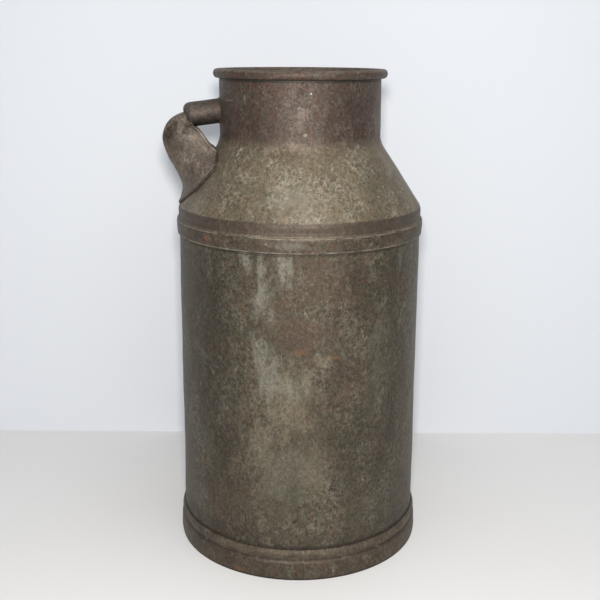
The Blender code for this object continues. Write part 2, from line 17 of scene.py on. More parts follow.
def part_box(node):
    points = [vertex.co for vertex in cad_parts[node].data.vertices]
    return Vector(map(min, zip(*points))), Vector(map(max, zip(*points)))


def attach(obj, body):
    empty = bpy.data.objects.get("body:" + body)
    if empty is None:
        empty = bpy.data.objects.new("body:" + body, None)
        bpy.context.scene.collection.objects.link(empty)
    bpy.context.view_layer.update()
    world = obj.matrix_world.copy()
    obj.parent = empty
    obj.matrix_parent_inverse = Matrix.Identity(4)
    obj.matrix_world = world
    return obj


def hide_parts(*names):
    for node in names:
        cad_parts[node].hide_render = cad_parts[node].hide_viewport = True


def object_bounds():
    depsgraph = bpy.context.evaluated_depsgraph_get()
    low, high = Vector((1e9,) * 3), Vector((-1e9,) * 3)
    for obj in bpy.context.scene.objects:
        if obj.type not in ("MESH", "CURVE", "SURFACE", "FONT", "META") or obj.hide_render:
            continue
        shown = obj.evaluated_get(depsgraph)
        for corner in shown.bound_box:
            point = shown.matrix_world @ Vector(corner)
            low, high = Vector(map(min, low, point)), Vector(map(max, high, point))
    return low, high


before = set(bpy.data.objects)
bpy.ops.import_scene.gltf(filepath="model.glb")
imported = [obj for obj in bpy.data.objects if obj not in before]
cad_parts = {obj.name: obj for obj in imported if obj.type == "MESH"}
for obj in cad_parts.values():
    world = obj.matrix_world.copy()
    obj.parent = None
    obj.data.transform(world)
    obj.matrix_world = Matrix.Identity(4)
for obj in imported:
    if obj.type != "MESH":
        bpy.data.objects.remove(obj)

cad_low, cad_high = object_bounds()
cad_size = [round(size * 1000, 1) for size in cad_high - cad_low]
print("packed model:", len(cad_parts), "nodes,", cad_size, "mm")

# %% [markdown]
# ## Measures
#
# A turned piece needs only radii and heights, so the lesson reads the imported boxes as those. Heights
# come straight from a box. A radius is how far a box reaches to -Y from the can's axis, which is
# parallel to Z. The neck's box ends at its rolled rim, so the roll's width is taken off to find the
# neck's wall.

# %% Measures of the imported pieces
def reach(node):
    """The outer radius of a round node."""
    return -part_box(node)[0].y


def span(node):
    """The lowest and highest Z of a node."""
    low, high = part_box(node)
    return low.z, high.z


neck_low, neck_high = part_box("neck")
AXIS_X = (neck_low.x + neck_high.x) / 2
CAN_HEIGHT = neck_high.z
GAP = 0.0003
SHEET = 0.0009
NECK_SHEET = 0.0010
ROLL_WIDTH = 0.0076
ROLL_HEIGHT = 0.0096
NECK_RADIUS = reach("neck") - ROLL_WIDTH + NECK_SHEET
BODY_RADIUS = reach("body_shell")
COLLAR_HEIGHT = 0.0125
CONE_TOP_Z = span("breast")[1] - COLLAR_HEIGHT
SKIRT_DROP = 0.0115
BODY_BOTTOM_Z, BODY_TOP_Z = span("body_shell")
SHOULDER_Z = BODY_TOP_Z + 2 * GAP + SKIRT_DROP
SHOULDER_RADIUS = reach("breast")
print(f"neck radius {NECK_RADIUS * 1000:.1f} mm, body radius {BODY_RADIUS * 1000:.1f} mm")

# %% [markdown]
# ## Tools for turned sheet
#
# Neck, breast, body and hoops are all turned: one outline, seen from the side, goes round the axis. In
# Blender that is a spin. The outline here has only its corners, and each corner that is a bend on the
# real sheet is bevelled after the spin, as a smith would first draw the sheet sharp and then roll the
# bend. The last tool gives the surface its thickness on the inner side, so the face that shows is
# exactly the one that was drawn.

# %% Tools: outline, spin, bend, thickness
SIDES = 240
HAIR = 1e-5


def outline(points, closed=False):
    """A line of (radius, height) corners as a bmesh, with the corners joined in order."""
    shape = bmesh.new()
    corners = [shape.verts.new((radius, 0, height)) for radius, height in points]
    for first, second in zip(corners, corners[1:] + corners[:1] if closed else corners[1:]):
        shape.edges.new((first, second))
    return shape


def divide(shape, longest):
    """Cuts each edge of an outline into steps no longer than this."""
    for edge in shape.edges[:]:
        cuts = math.ceil(edge.calc_length() / longest) - 1
        if cuts > 0:
            bmesh.ops.subdivide_edges(shape, edges=[edge], cuts=cuts)


def spin_round(shape, sides=SIDES):
    """Turns an outline once round Z, closes the seam and the poles, and points the faces outwards."""
    bmesh.ops.spin(
        shape, geom=shape.verts[:] + shape.edges[:], cent=(0, 0, 0), axis=(0, 0, 1),
        angle=2 * math.pi, steps=sides, use_merge=True,
    )
    bmesh.ops.remove_doubles(shape, verts=shape.verts, dist=HAIR / 10)
    bmesh.ops.recalc_face_normals(shape, faces=shape.faces)


def bevel(shape, edges, offset, segments):
    """Rounds these edges."""
    bmesh.ops.bevel(
        shape, geom=edges, offset=offset, segments=segments, profile=0.5, affect="EDGES", material=-1,
    )


def bend_ring(shape, radius, height, bend, segments=8):
    """Rounds the ring of edges at this radius and height to a bend of this inner radius."""
    ring = []
    for edge in shape.edges:
        if all(
            abs(point.co.z - height) < HAIR and abs(math.hypot(point.co.x, point.co.y) - radius) < HAIR
            for point in edge.verts
        ):
            ring.append(edge)
    turn = ring[0].calc_face_angle()
    bevel(shape, ring, bend * math.tan(turn / 2), segments)


def thicken(shape, thickness, ease=0.0002):
    """Gives a surface its sheet thickness on the inner side, and takes the sharpness off the cut edges."""
    bmesh.ops.solidify(shape, geom=shape.faces[:], thickness=thickness)
    shape.normal_update()
    sharp = [edge for edge in shape.edges if edge.is_manifold and edge.calc_face_angle() > math.radians(60)]
    bevel(shape, sharp, ease, 2)


# %% [markdown]
# Old sheet is never true. It has soft swells that only show as a wobble in its shine, and a few shallow
# dents. A noise value moves each point in or out by a fraction of a millimetre, and fades out where a
# hoop grips.

# %% Tool: soft swells and dents
def swell(shape, depth, size, seed, held=()):
    """Moves points in and out by about this depth, and less near each (height, width) in held."""
    for point in shape.verts:
        out = Vector((point.co.x, point.co.y, 0)).normalized()
        amount = depth * noise.noise(point.co / size + Vector((seed, 0, 0)))
        amount += depth * 0.3 * noise.noise(point.co / (size * 0.3) + Vector((0, seed, 0)))
        for height, width in held:
            amount *= min(1.0, abs(point.co.z - height) / width)
        point.co += out * amount


# %% [markdown]
# Every finished shape goes on to the can's axis, becomes an object at the origin, rides on the can's
# one body and hides the imported node that it stands for. One function does all of that.

# %% Tool: make a piece of the can
SHARP_FROM = 38
pieces = {}


def link_object(name, data):
    """A new object in the scene, at the origin."""
    made = bpy.data.objects.new(name, data)
    bpy.context.scene.collection.objects.link(made)
    return made


def to_mesh(name, shape):
    """The finished mesh of a bmesh, which is freed."""
    mesh = bpy.data.meshes.new(name)
    shape.to_mesh(mesh)
    shape.free()
    return mesh


def make_piece(name, shape, slot, *stands_for):
    """A finished bmesh as a named piece of the can, smooth except at its sharp edges."""
    bmesh.ops.translate(shape, vec=(AXIS_X, 0, 0), verts=shape.verts)
    mesh = to_mesh(name, shape)
    mesh.shade_smooth()
    mesh.set_sharp_from_angle(angle=math.radians(SHARP_FROM))
    piece = link_object(name, mesh)
    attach(piece, "root")
    if stands_for:
        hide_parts(*stands_for)
    pieces[name] = piece
    triangles = sum(len(face.vertices) - 2 for face in mesh.polygons)
    print(f"{name}: {triangles} triangles")
    return piece


# %% [markdown]
# ## Neck and rolled rim
#
# The neck is a straight tube whose top edge is curled outwards over a wire. The curl is one point, spun
# most of the way round the wire and squeezed to an oval, and the straight wall is drawn down from the
# curl's start. The face that is drawn is the neck's inner one, because that is the face that ends up
# outside the roll.

# %% Neck with its curl
CURL_TURN = 296.0
CURL_STEPS = 24
NECK_FOOT_LIFT = 0.0033


def make_neck():
    shape = bmesh.new()
    centre = Vector((NECK_RADIUS - NECK_SHEET + ROLL_WIDTH / 2, 0, CAN_HEIGHT - ROLL_HEIGHT / 2))
    start = shape.verts.new(centre - Vector((ROLL_WIDTH / 2, 0, 0)))
    bmesh.ops.spin(
        shape, geom=[start], cent=centre, axis=(0, 1, 0), angle=math.radians(CURL_TURN), steps=CURL_STEPS,
    )
    bmesh.ops.scale(
        shape, vec=(1, 1, ROLL_HEIGHT / ROLL_WIDTH), space=Matrix.Translation(-centre), verts=shape.verts,
    )
    foot = shape.verts.new((start.co.x, 0, CONE_TOP_Z + NECK_FOOT_LIFT))
    wall = shape.edges.new((start, foot))
    bmesh.ops.subdivide_edges(shape, edges=[wall], cuts=24)
    spin_round(shape)
    swell(shape, 0.0004, 0.055, 3.0, [(CONE_TOP_Z, 0.015)])
    thicken(shape, NECK_SHEET)
    return make_piece("neck_fine", shape, "neck_steel", "neck")


make_neck()

# %% [markdown]
# ## Breast
#
# One pressing makes the collar inside the neck, the cone, the round shoulder, a shallow groove and the
# skirt that drops over the body. The outline has six corners. The cone is cut into short steps first,
# so that the swells have points to move.

# %% Breast
GROOVE_DEPTH = 0.0006
GROOVE_DROP = 0.0067
SKIRT_BOTTOM_Z = span("breast")[0]
SKIRT_RADIUS = BODY_RADIUS + GAP + SHEET
CONE_SLOPE = Vector((SHOULDER_RADIUS - NECK_RADIUS, SHOULDER_Z - CONE_TOP_Z)).normalized()
CONE_OUT = -CONE_SLOPE.y


def cone_radius(height, proud=0.0):
    """The radius of the cone's outer face at this height, or of a surface that far proud of it."""
    share = (CONE_TOP_Z - height) / (CONE_TOP_Z - SHOULDER_Z)
    return NECK_RADIUS + (SHOULDER_RADIUS - NECK_RADIUS) * share + proud / CONE_OUT


def make_breast():
    collar_radius = NECK_RADIUS - NECK_SHEET - GAP
    fall = (collar_radius - NECK_RADIUS) / CONE_SLOPE.x
    collar = (collar_radius, CONE_TOP_Z + fall * CONE_SLOPE.y)
    shoulder = (SHOULDER_RADIUS, SHOULDER_Z)
    groove = (SKIRT_RADIUS - GROOVE_DEPTH, SHOULDER_Z - GROOVE_DROP)
    skirt = (SKIRT_RADIUS, SHOULDER_Z - SKIRT_DROP)
    shape = outline([(collar_radius, CONE_TOP_Z + COLLAR_HEIGHT), collar, shoulder, groove, skirt,
                     (SKIRT_RADIUS, SKIRT_BOTTOM_Z)])
    spin_round(shape)
    bend_ring(shape, *groove, 0.0040)
    bend_ring(shape, *skirt, 0.0040)
    bend_ring(shape, *shoulder, 0.0100)
    bend_ring(shape, *collar, 0.0030, 4)
    long_edges = [edge for edge in shape.edges if edge.calc_length() > 0.03]
    bmesh.ops.subdivide_edges(shape, edges=long_edges, cuts=26, use_grid_fill=True)
    held = [(CONE_TOP_Z, 0.015), (SHOULDER_Z - GROOVE_DROP, 0.010), (SKIRT_BOTTOM_Z, 0.018)]
    swell(shape, 0.0005, 0.050, 7.0, held)
    thicken(shape, SHEET)
    return make_piece("breast_fine", shape, "breast_steel", "breast")


make_breast()

# %% [markdown]
# ## Solder round the foot of the neck
#
# Solder is sweated into the corner between neck and cone, and wiped to a hollow, so that milk leaves no
# crust. It is a ring whose inner corner is bent to a large hollow round. Its thin edges run out on the
# neck and the cone, and its root reaches a little into them, so that no step shows.

# %% Solder ring
SOLDER_ROUND = 0.0250
SOLDER_ROOT = 0.0005
SKIN = 0.00006


def make_neck_solder():
    low, high = span("neck_solder")
    corner = (NECK_RADIUS + SKIN, CONE_TOP_Z)
    foot_radius = cone_radius(low, SKIN)
    shape = outline([
        (NECK_RADIUS - SOLDER_ROOT, high), (NECK_RADIUS + SKIN, high), corner, (foot_radius, low),
        (foot_radius - SOLDER_ROOT, low - SOLDER_ROOT),
        (NECK_RADIUS - SOLDER_ROOT, CONE_TOP_Z - SOLDER_ROOT),
    ], closed=True)
    spin_round(shape)
    bend_ring(shape, *corner, SOLDER_ROUND, 12)
    return make_piece("neck_solder_fine", shape, "solder", "neck_solder")


make_neck_solder()

# %% [markdown]
# ## Body
#
# The body is one sheet rolled to a cylinder. It gets a grid of short steps for its swells, and the
# folded lock seam that closes it down the back is a low bar with well rounded long edges.

# %% Body and its seam
SEAM_WIDTH = 0.0085
SEAM_PROUD = 0.0009
SEAM_END_CLEARANCE = 0.0015
FOOT_HOOP_HEIGHT = span("foot_hoop")[1]
BREAST_HOOP_BOTTOM_Z, BREAST_HOOP_TOP_Z = span("breast_hoop")


def make_body():
    shape = outline([(BODY_RADIUS, BODY_TOP_Z), (BODY_RADIUS, BODY_BOTTOM_Z)])
    divide(shape, 0.0042)
    spin_round(shape)
    held = [(BODY_TOP_Z, 0.040), (FOOT_HOOP_HEIGHT, 0.012), (BODY_BOTTOM_Z, 0.040)]
    swell(shape, 0.0009, 0.075, 11.0, held)
    thicken(shape, SHEET)
    return make_piece("body_fine", shape, "body_steel", "body_shell")


def make_seam():
    bottom = FOOT_HOOP_HEIGHT + SEAM_END_CLEARANCE
    top = BREAST_HOOP_BOTTOM_Z - SEAM_END_CLEARANCE
    shape = bmesh.new()
    bmesh.ops.create_cube(shape, size=1.0)
    bmesh.ops.scale(shape, vec=(SEAM_WIDTH, 2 * SEAM_PROUD, top - bottom), verts=shape.verts)
    bmesh.ops.translate(shape, vec=(0, BODY_RADIUS, (top + bottom) / 2), verts=shape.verts)
    long_edges = [edge for edge in shape.edges if edge.calc_length() > 0.1]
    bevel(shape, long_edges, SEAM_PROUD * 0.8, 4)
    return make_piece("body_seam", shape, "body_steel")


make_body()
make_seam()

# %% [markdown]
# ## Hoops
#
# Two steel hoops are shrunk on. The one on the breast's skirt is a half oval, fullest near its top. The
# foot hoop is heavy: a bead, a groove, a full band under it, and a lip that turns in under the body.
# Both are closed outlines, so they are solid when spun, and the corners are rolled round afterwards.

# %% Breast hoop
HOOP_CREST_DROP = 0.0028
HOOP_FALL_DROP = 0.0108


def make_breast_hoop():
    inner = SKIRT_RADIUS + GAP
    bottom, top = BREAST_HOOP_BOTTOM_Z, BREAST_HOOP_TOP_Z
    rim = (inner + 0.0010, top)
    crest = (reach("breast_hoop"), top - HOOP_CREST_DROP)
    fall = (inner + 0.0011, top - HOOP_FALL_DROP)
    shape = outline(
        [(inner, bottom), (inner, top), rim, crest, fall, (inner + 0.0007, bottom)], closed=True,
    )
    spin_round(shape)
    bend_ring(shape, *fall, 0.0060)
    bend_ring(shape, *crest, 0.0015)
    bend_ring(shape, *rim, 0.0005, 3)
    return make_piece("breast_hoop_fine", shape, "hoop_steel", "breast_hoop")


make_breast_hoop()

# %% Foot hoop
FOOT_THICK = 0.0030
FOOT_BEAD_DROP = 0.0051
FOOT_GROOVE_DROP = 0.0113
FOOT_GROOVE_DEPTH = 0.0014
FOOT_BAND_DROP = 0.0143
FOOT_BAND_Z = 0.0044
FOOT_LIP = 0.0040
FOOT_LIP_THICK = 0.0030


def make_foot_hoop():
    inner = BODY_RADIUS + GAP
    outer = inner + FOOT_THICK
    top = FOOT_HOOP_HEIGHT
    rim = (inner + 0.0012, top)
    bead_crest = (outer, top - FOOT_BEAD_DROP)
    groove = (outer - FOOT_GROOVE_DEPTH, top - FOOT_GROOVE_DROP)
    band_top = (outer + 0.0005, top - FOOT_BAND_DROP)
    band = (reach("foot_hoop"), FOOT_BAND_Z)
    shape = outline([
        (inner - FOOT_LIP, 0), (inner - FOOT_LIP, FOOT_LIP_THICK), (inner, FOOT_LIP_THICK), (inner, top),
        rim, bead_crest, groove, band_top, band, (outer + 0.0006, 0),
    ], closed=True)
    spin_round(shape)
    bend_ring(shape, *band, 0.0030)
    bend_ring(shape, *band_top, 0.0030)
    bend_ring(shape, *bead_crest, 0.0036)
    bend_ring(shape, *groove, 0.0007, 3)
    bend_ring(shape, *rim, 0.0006, 3)
    return make_piece("foot_hoop_fine", shape, "hoop_steel", "foot_hoop")


make_foot_hoop()

# %% [markdown]
# ## Bottom
#
# The bottom is a dished disc with its flange turned down inside the body. The drawn line is cut into
# steps and the steps are lifted to a shallow crown before the spin.

# %% Bottom plate
BOTTOM_SHEET = 0.0010
BOTTOM_RECESS = 0.0130
BOTTOM_CROWN = 0.0035


def make_bottom():
    flange = BODY_RADIUS - SHEET - GAP
    level = BOTTOM_RECESS + BOTTOM_SHEET
    shape = outline([(0, level), (flange, level), (flange, BODY_BOTTOM_Z)])
    plate = max(shape.edges, key=lambda edge: edge.calc_length())
    bmesh.ops.subdivide_edges(shape, edges=[plate], cuts=14)
    for point in shape.verts:
        point.co.z += BOTTOM_CROWN * (1 - (point.co.x / flange) ** 2)
    spin_round(shape)
    bend_ring(shape, flange, level, 0.0050)
    thicken(shape, BOTTOM_SHEET)
    return make_piece("bottom_fine", shape, "bottom_steel", "bottom_plate")


make_bottom()

# %% [markdown]
# ## Grip
#
# The handle's grip is a short tube, rounded in at its outer end, that butts on the neck. It is turned
# upright, laid along its own slope, and the points of its inner end slide along the grip until they
# meet the neck. Four cuts mark out the opening in the underside of its outer end, where the hood comes
# out.

# %% Grip
GRIP_RADIUS = 0.0132
GRIP_LENGTH = 0.0380
GRIP_SHEET = 0.0012
GRIP_Z = CAN_HEIGHT - 0.0445
GRIP_TILT = math.radians(7.4)
GRIP_ALONG = Vector((-math.cos(GRIP_TILT), 0, -math.sin(GRIP_TILT)))
GRIP_SIDES = 72
MOUTH_CUT = 0.0065
MOUTH_CROWN = 0.0039
MOUTH_HALF_WIDTH = 0.0106


def lay_grip(shape):
    """Turns a shape that was made up +Z so that it points along the grip, and moves it to the neck."""
    turn = Matrix.Rotation(-math.pi / 2 - GRIP_TILT, 3, "Y")
    bmesh.ops.rotate(shape, cent=(0, 0, 0), matrix=turn, verts=shape.verts)
    bmesh.ops.translate(shape, vec=(-NECK_RADIUS, 0, GRIP_Z), verts=shape.verts)


def meet_neck(point, radius):
    """Where a line through this point along the grip meets a round wall of this radius."""
    across = GRIP_ALONG.x
    half_b = point.x * across
    rest = point.x ** 2 + point.y ** 2 - radius ** 2
    return point + GRIP_ALONG * ((-half_b + math.sqrt(half_b ** 2 - across ** 2 * rest)) / across ** 2)


def make_grip():
    end = GRIP_LENGTH + GRIP_SHEET / 2
    shape = outline([(GRIP_RADIUS, 0), (GRIP_RADIUS, end), (GRIP_RADIUS - 0.0079, end)])
    spin_round(shape, GRIP_SIDES)
    bend_ring(shape, GRIP_RADIUS, end, 0.0076, 10)
    cut = GRIP_LENGTH - MOUTH_CUT
    planes = [
        ((0, 0, cut), (0, 0, 1)), ((MOUTH_CROWN, 0, 0), (1, 0, 0)),
        ((0, MOUTH_HALF_WIDTH, 0), (0, 1, 0)), ((0, -MOUTH_HALF_WIDTH, 0), (0, 1, 0)),
    ]
    for place, facing in planes:
        bmesh.ops.bisect_plane(
            shape, geom=shape.verts[:] + shape.edges[:] + shape.faces[:], plane_co=place, plane_no=facing,
        )
    open_below = []
    for face in shape.faces:
        middle = face.calc_center_median()
        if middle.z > cut and middle.x < MOUTH_CROWN and abs(middle.y) < MOUTH_HALF_WIDTH:
            open_below.append(face)
    bmesh.ops.delete(shape, geom=open_below, context="FACES")
    inner_end = [point for point in shape.verts if abs(point.co.z) < HAIR]
    lay_grip(shape)
    for point in inner_end:
        point.co = meet_neck(point.co, NECK_RADIUS + GAP)
    thicken(shape, GRIP_SHEET, 0.0003)
    return make_piece("handle_grip_fine", shape, "handle_steel", "handle_grip")


make_grip()

# %% [markdown]
# ## Hood
#
# The handle's hood is one pressing: a narrow tongue inside the grip, a round hood that hangs over the
# cone, and a shield-shaped foot. Its shape is a row of cross sections from the neck to the tip of the
# foot. Each has three points: the crown on the middle line, the corner that it turns round, and the
# edge. A flat grid is laid over the row, smoothly from one section to the next, mirrored about the
# middle, and kept off the cone.

# %% Sections of the hood
HOOD_SHEET = 0.0015
HOOD_SEAT = HOOD_SHEET / 2 + 0.00045
TONGUE_CROWN = 0.00257
TONGUE_HALF_WIDTH = 0.0093
TONGUE_FALL = 0.0048
HOOD_REACH = GRIP_LENGTH + 0.0231
HOOD_APEX_Z = GRIP_Z - 0.0280


def off_neck(out, side, height):
    """A point so far out from the neck, to the near side, at this height."""
    return Vector((-(NECK_RADIUS + out), -side, height))


def off_cone(share, stand_off, side):
    """A point that stands off the cone, a share of the way down it."""
    height = CONE_TOP_Z - (CONE_TOP_Z - SHOULDER_Z) * share
    return Vector((-(cone_radius(height) + stand_off), -side, height))


def on_cone(share, side):
    """A point of the sheet's middle where it lies on the cone."""
    height = CONE_TOP_Z - (CONE_TOP_Z - SHOULDER_Z) * share
    radius = cone_radius(height, HOOD_SEAT)
    return Vector((-math.sqrt(radius ** 2 - side ** 2), -side, height))


def slope_z(out):
    """The height of the grip's middle line, so far out from the neck."""
    return GRIP_Z - out * math.tan(GRIP_TILT)


MOUTH_Z = slope_z(GRIP_LENGTH)
tongue = []
for out in (0.0006, 0.0170, 0.0255):
    tongue.append((
        off_neck(out, 0, slope_z(out) + TONGUE_CROWN),
        off_neck(out, TONGUE_HALF_WIDTH, slope_z(out) + TONGUE_CROWN),
        off_neck(out, TONGUE_HALF_WIDTH, slope_z(out) - TONGUE_FALL),
    ))
mouth = [(
    off_neck(GRIP_LENGTH, 0, MOUTH_Z + 0.0032),
    off_neck(GRIP_LENGTH, 0.0094, MOUTH_Z + 0.0012),
    off_neck(GRIP_LENGTH - 0.0080, 0.0092, MOUTH_Z - 0.0096),
)]
free = [
    (
        off_neck(HOOD_REACH - 0.0073, 0, HOOD_APEX_Z + 0.0175),
        off_neck(HOOD_REACH - 0.0100, 0.0150, HOOD_APEX_Z + 0.0145),
        off_neck(GRIP_LENGTH - 0.0157, 0.0150, MOUTH_Z - 0.0167),
    ),
    (
        off_neck(HOOD_REACH, 0, HOOD_APEX_Z),
        off_neck(HOOD_REACH - 0.0020, 0.0190, HOOD_APEX_Z - 0.0010),
        off_neck(GRIP_LENGTH - 0.0260, 0.0205, MOUTH_Z - 0.0312),
    ),
]
foot = [
    (off_cone(0.225, 0.0448, 0), off_cone(0.210, 0.0400, 0.0215), on_cone(0.150, 0.0255)),
    (off_cone(0.420, 0.0281, 0), off_cone(0.407, 0.0160, 0.0245), on_cone(0.355, 0.0420)),
    (off_cone(0.670, 0.0096, 0), off_cone(0.680, 0.0045, 0.0190), on_cone(0.660, 0.0325)),
    (off_cone(0.920, 0.0015, 0), off_cone(0.920, 0.0014, 0.0020), on_cone(0.920, 0.0040)),
]
SECTIONS = tongue + mouth + free + foot
print("hood:", len(SECTIONS), "sections")

# %% [markdown]
# Between two sections a Catmull-Rom curve carries each of the three points, which passes through every
# section and keeps its direction. Across a section, a quadratic curve runs from crown to edge and turns
# at the corner.

# %% A point of the hood
def smooth_between(row, where):
    """The point at this place along a row of points, on a Catmull-Rom curve through them."""
    index = min(int(where), len(row) - 2)
    share = where - index
    before, start = row[max(index - 1, 0)], row[index]
    end, after = row[index + 1], row[min(index + 2, len(row) - 1)]
    return 0.5 * (
        2 * start + (end - before) * share + (2 * before - 5 * start + 4 * end - after) * share ** 2
        + (3 * start - before - 3 * end + after) * share ** 3
    )


def hood_point(where, across, lift=0.0):
    """A point of the hood: along in sections, across from -1 at one edge to 1 at the other."""
    crown, corner, edge = (smooth_between(row, where) for row in zip(*SECTIONS))
    share = abs(across)
    point = crown * (1 - share) ** 2 + corner * 2 * share * (1 - share) + edge * share ** 2
    if across < 0:
        point.y = -point.y
    if point.z < CONE_TOP_Z:
        scale = max(1, cone_radius(point.z, HOOD_SEAT + lift) / math.hypot(point.x, point.y))
        point.x *= scale
        point.y *= scale
    return point


# %% Hood
HOOD_STEPS_ALONG = 96
HOOD_STEPS_ACROSS = 48


def make_hood():
    shape = bmesh.new()
    bmesh.ops.create_grid(shape, x_segments=HOOD_STEPS_ALONG, y_segments=HOOD_STEPS_ACROSS, size=1)
    for point in shape.verts:
        where = (point.co.x + 1) / 2 * (len(SECTIONS) - 1)
        point.co = hood_point(where, point.co.y)
    bmesh.ops.recalc_face_normals(shape, faces=shape.faces)
    shape.normal_update()
    for point in shape.verts:
        point.co += point.normal * HOOD_SHEET / 2
    thicken(shape, HOOD_SHEET, 0.0004)
    return make_piece("handle_hood_fine", shape, "handle_steel", "handle_hood")


make_hood()

# %% [markdown]
# ## Hem and solder beads
#
# The hood's free edges are folded to a hem, so that they don't cut the hand. Where the hood's foot
# meets the cone, and where the grip meets the neck, the smith ran a bead of solder. All three are lines
# of round section, so a curve with a bevel makes them, and its thickness varies a little, as a hand-run
# bead does.

# %% Tool: a bead along a line
def bead(points, radius, wobble, closed=False):
    """A round bead along a line of points, as a bmesh. Wobble is the share that its thickness varies by."""
    curve = bpy.data.curves.new("bead", "CURVE")
    curve.dimensions = "3D"
    curve.bevel_depth = radius
    curve.bevel_resolution = 4
    curve.use_fill_caps = not closed
    spline = curve.splines.new("POLY")
    spline.points.add(len(points) - 1)
    spline.use_cyclic_u = closed
    for knot, point in zip(spline.points, points):
        knot.co = (*point, 1)
        knot.radius = 1 + wobble * noise.noise(point / 0.004)
    holder = bpy.data.objects.new("bead", curve)
    mesh = bpy.data.meshes.new_from_object(holder)
    shape = bmesh.new()
    shape.from_mesh(mesh)
    bmesh.ops.remove_doubles(shape, verts=shape.verts, dist=HAIR / 10)
    bmesh.ops.recalc_face_normals(shape, faces=shape.faces)
    bpy.data.objects.remove(holder)
    bpy.data.curves.remove(curve)
    bpy.data.meshes.remove(mesh)
    return shape


# %% Hem, foot bead and grip bead
HEM_RADIUS = 0.0012
FOOT_BEAD_RADIUS = 0.0016
GRIP_BEAD_RADIUS = 0.0011
HEM_STEPS = 60
HEM_START = 3.0
HEM_END = 5.9
last_section = len(SECTIONS) - 1

for side, name in ((1, "near"), (-1, "far")):
    steps = [HEM_START + (HEM_END - HEM_START) * step / HEM_STEPS for step in range(HEM_STEPS + 1)]
    hem = bead([hood_point(where, side) for where in steps], HEM_RADIUS, 0.05)
    make_piece("hood_hem_" + name, hem, "handle_steel")

foot_line = []
for side in (1, -1):
    steps = [HEM_END + (last_section - HEM_END) * step / HEM_STEPS for step in range(HEM_STEPS + 1)]
    half = [hood_point(where, side, -0.0006) for where in steps]
    foot_line += half if side == 1 else half[::-1]
make_piece("hood_foot_solder", bead(foot_line, FOOT_BEAD_RADIUS, 0.35), "solder")

round_grip = []
for step in range(GRIP_SIDES):
    angle = 2 * math.pi * step / GRIP_SIDES
    ring = Vector((0, math.sin(angle), math.cos(angle))) * GRIP_RADIUS
    start = Vector((-NECK_RADIUS, 0, GRIP_Z)) + ring
    round_grip.append(meet_neck(start, NECK_RADIUS))
make_piece("grip_solder", bead(round_grip, GRIP_BEAD_RADIUS, 0.3, closed=True), "solder")

# %% [markdown]
# ## Rivets
#
# Two rivets hold the hood's tongue to the neck. They sit inside the grip, and only their inner heads
# can be seen, down through the mouth. Each is a shank and two round heads, turned and laid along the
# grip's direction.

# %% Rivets
RIVET_HEAD_RADIUS = 0.0030
RIVET_SHANK_RADIUS = 0.0018
RIVET_RISE = 0.0017


def make_rivet(name):
    low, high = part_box("handle_rivet_" + name)
    length = high.x - low.x
    crown = RIVET_HEAD_RADIUS * 0.75
    far_head = length - RIVET_RISE
    shape = outline([
        (0, 0), (crown, 0), (RIVET_HEAD_RADIUS, RIVET_RISE), (RIVET_SHANK_RADIUS, RIVET_RISE),
        (RIVET_SHANK_RADIUS, far_head), (RIVET_HEAD_RADIUS, far_head), (crown, length), (0, length),
    ])
    spin_round(shape, 32)
    bend_ring(shape, crown, 0, 0.0020, 6)
    bend_ring(shape, crown, length, 0.0020, 6)
    bmesh.ops.rotate(shape, cent=(0, 0, 0), matrix=Matrix.Rotation(math.pi / 2, 3, "Y"), verts=shape.verts)
    bmesh.ops.translate(shape, vec=(low.x - AXIS_X, 0, (low.z + high.z) / 2), verts=shape.verts)
    return make_piece("rivet_" + name, shape, "rivet_steel", "handle_rivet_" + name)


make_rivet("upper")
make_rivet("lower")

# %% [markdown]
# ## Finishes: tools for nodes
#
# Tin that has worn and rusted for years has no single colour. It is built up the way that it happened:
# bare tin, dulled in clouds, then dark grime, pale bloom, rust, specks and scratches, and last the
# stains that have a place of their own, with painted shade and painted highlights laid the same way.
# Each of these effects is a node group, made once and used by every finish.

# %% Tools: nodes, groups, colours
def tone(red, green, blue):
    """A colour as it looks on a screen, from 0 to 255, turned into the light values that shaders use."""
    light = []
    for value in (red, green, blue):
        share = value / 255
        light.append(share / 12.92 if share <= 0.04045 else ((share + 0.055) / 1.055) ** 2.4)
    return (*light, 1.0)


def add(tree, kind, inputs, **settings):
    """Adds a node with these settings. An input is a value or another node's output."""
    made = tree.nodes.new("ShaderNode" + kind)
    for name, value in settings.items():
        setattr(made, name, value)
    for socket, value in inputs.items():
        if isinstance(value, bpy.types.NodeSocket):
            tree.links.new(value, made.inputs[socket])
        else:
            made.inputs[socket].default_value = value
    return made


def calc(tree, operation, first, second=0.0):
    """One step of arithmetic."""
    return add(tree, "Math", {0: first, 1: second}, operation=operation).outputs[0]


def times(tree, first, second):
    """A product."""
    return calc(tree, "MULTIPLY", first, second)


def plus(tree, first, second):
    """A sum."""
    return calc(tree, "ADD", first, second)


def minus(tree, first, second):
    """A difference."""
    return calc(tree, "SUBTRACT", first, second)


def ratio(tree, first, second):
    """A quotient."""
    return calc(tree, "DIVIDE", first, second)


def mixed(tree, mask, under, over):
    """One colour over another, as strongly as the mask says."""
    return add(tree, "Mix", {0: mask, 6: under, 7: over}, data_type="RGBA").outputs[2]


def soft_step(tree, value, low, high):
    """0 below low, 1 above high, and a smooth rise between."""
    inputs = {"Value": value, "From Min": low, "From Max": high}
    return add(tree, "MapRange", inputs, interpolation_type="SMOOTHSTEP").outputs["Result"]


def fade(tree, value, low, high):
    """1 below low, 0 above high, and a smooth fall between."""
    return minus(tree, 1.0, soft_step(tree, value, low, high))


def use(tree, group, inputs):
    """Puts a node group in a tree. Returns its outputs."""
    return add(tree, "Group", inputs, node_tree=group).outputs


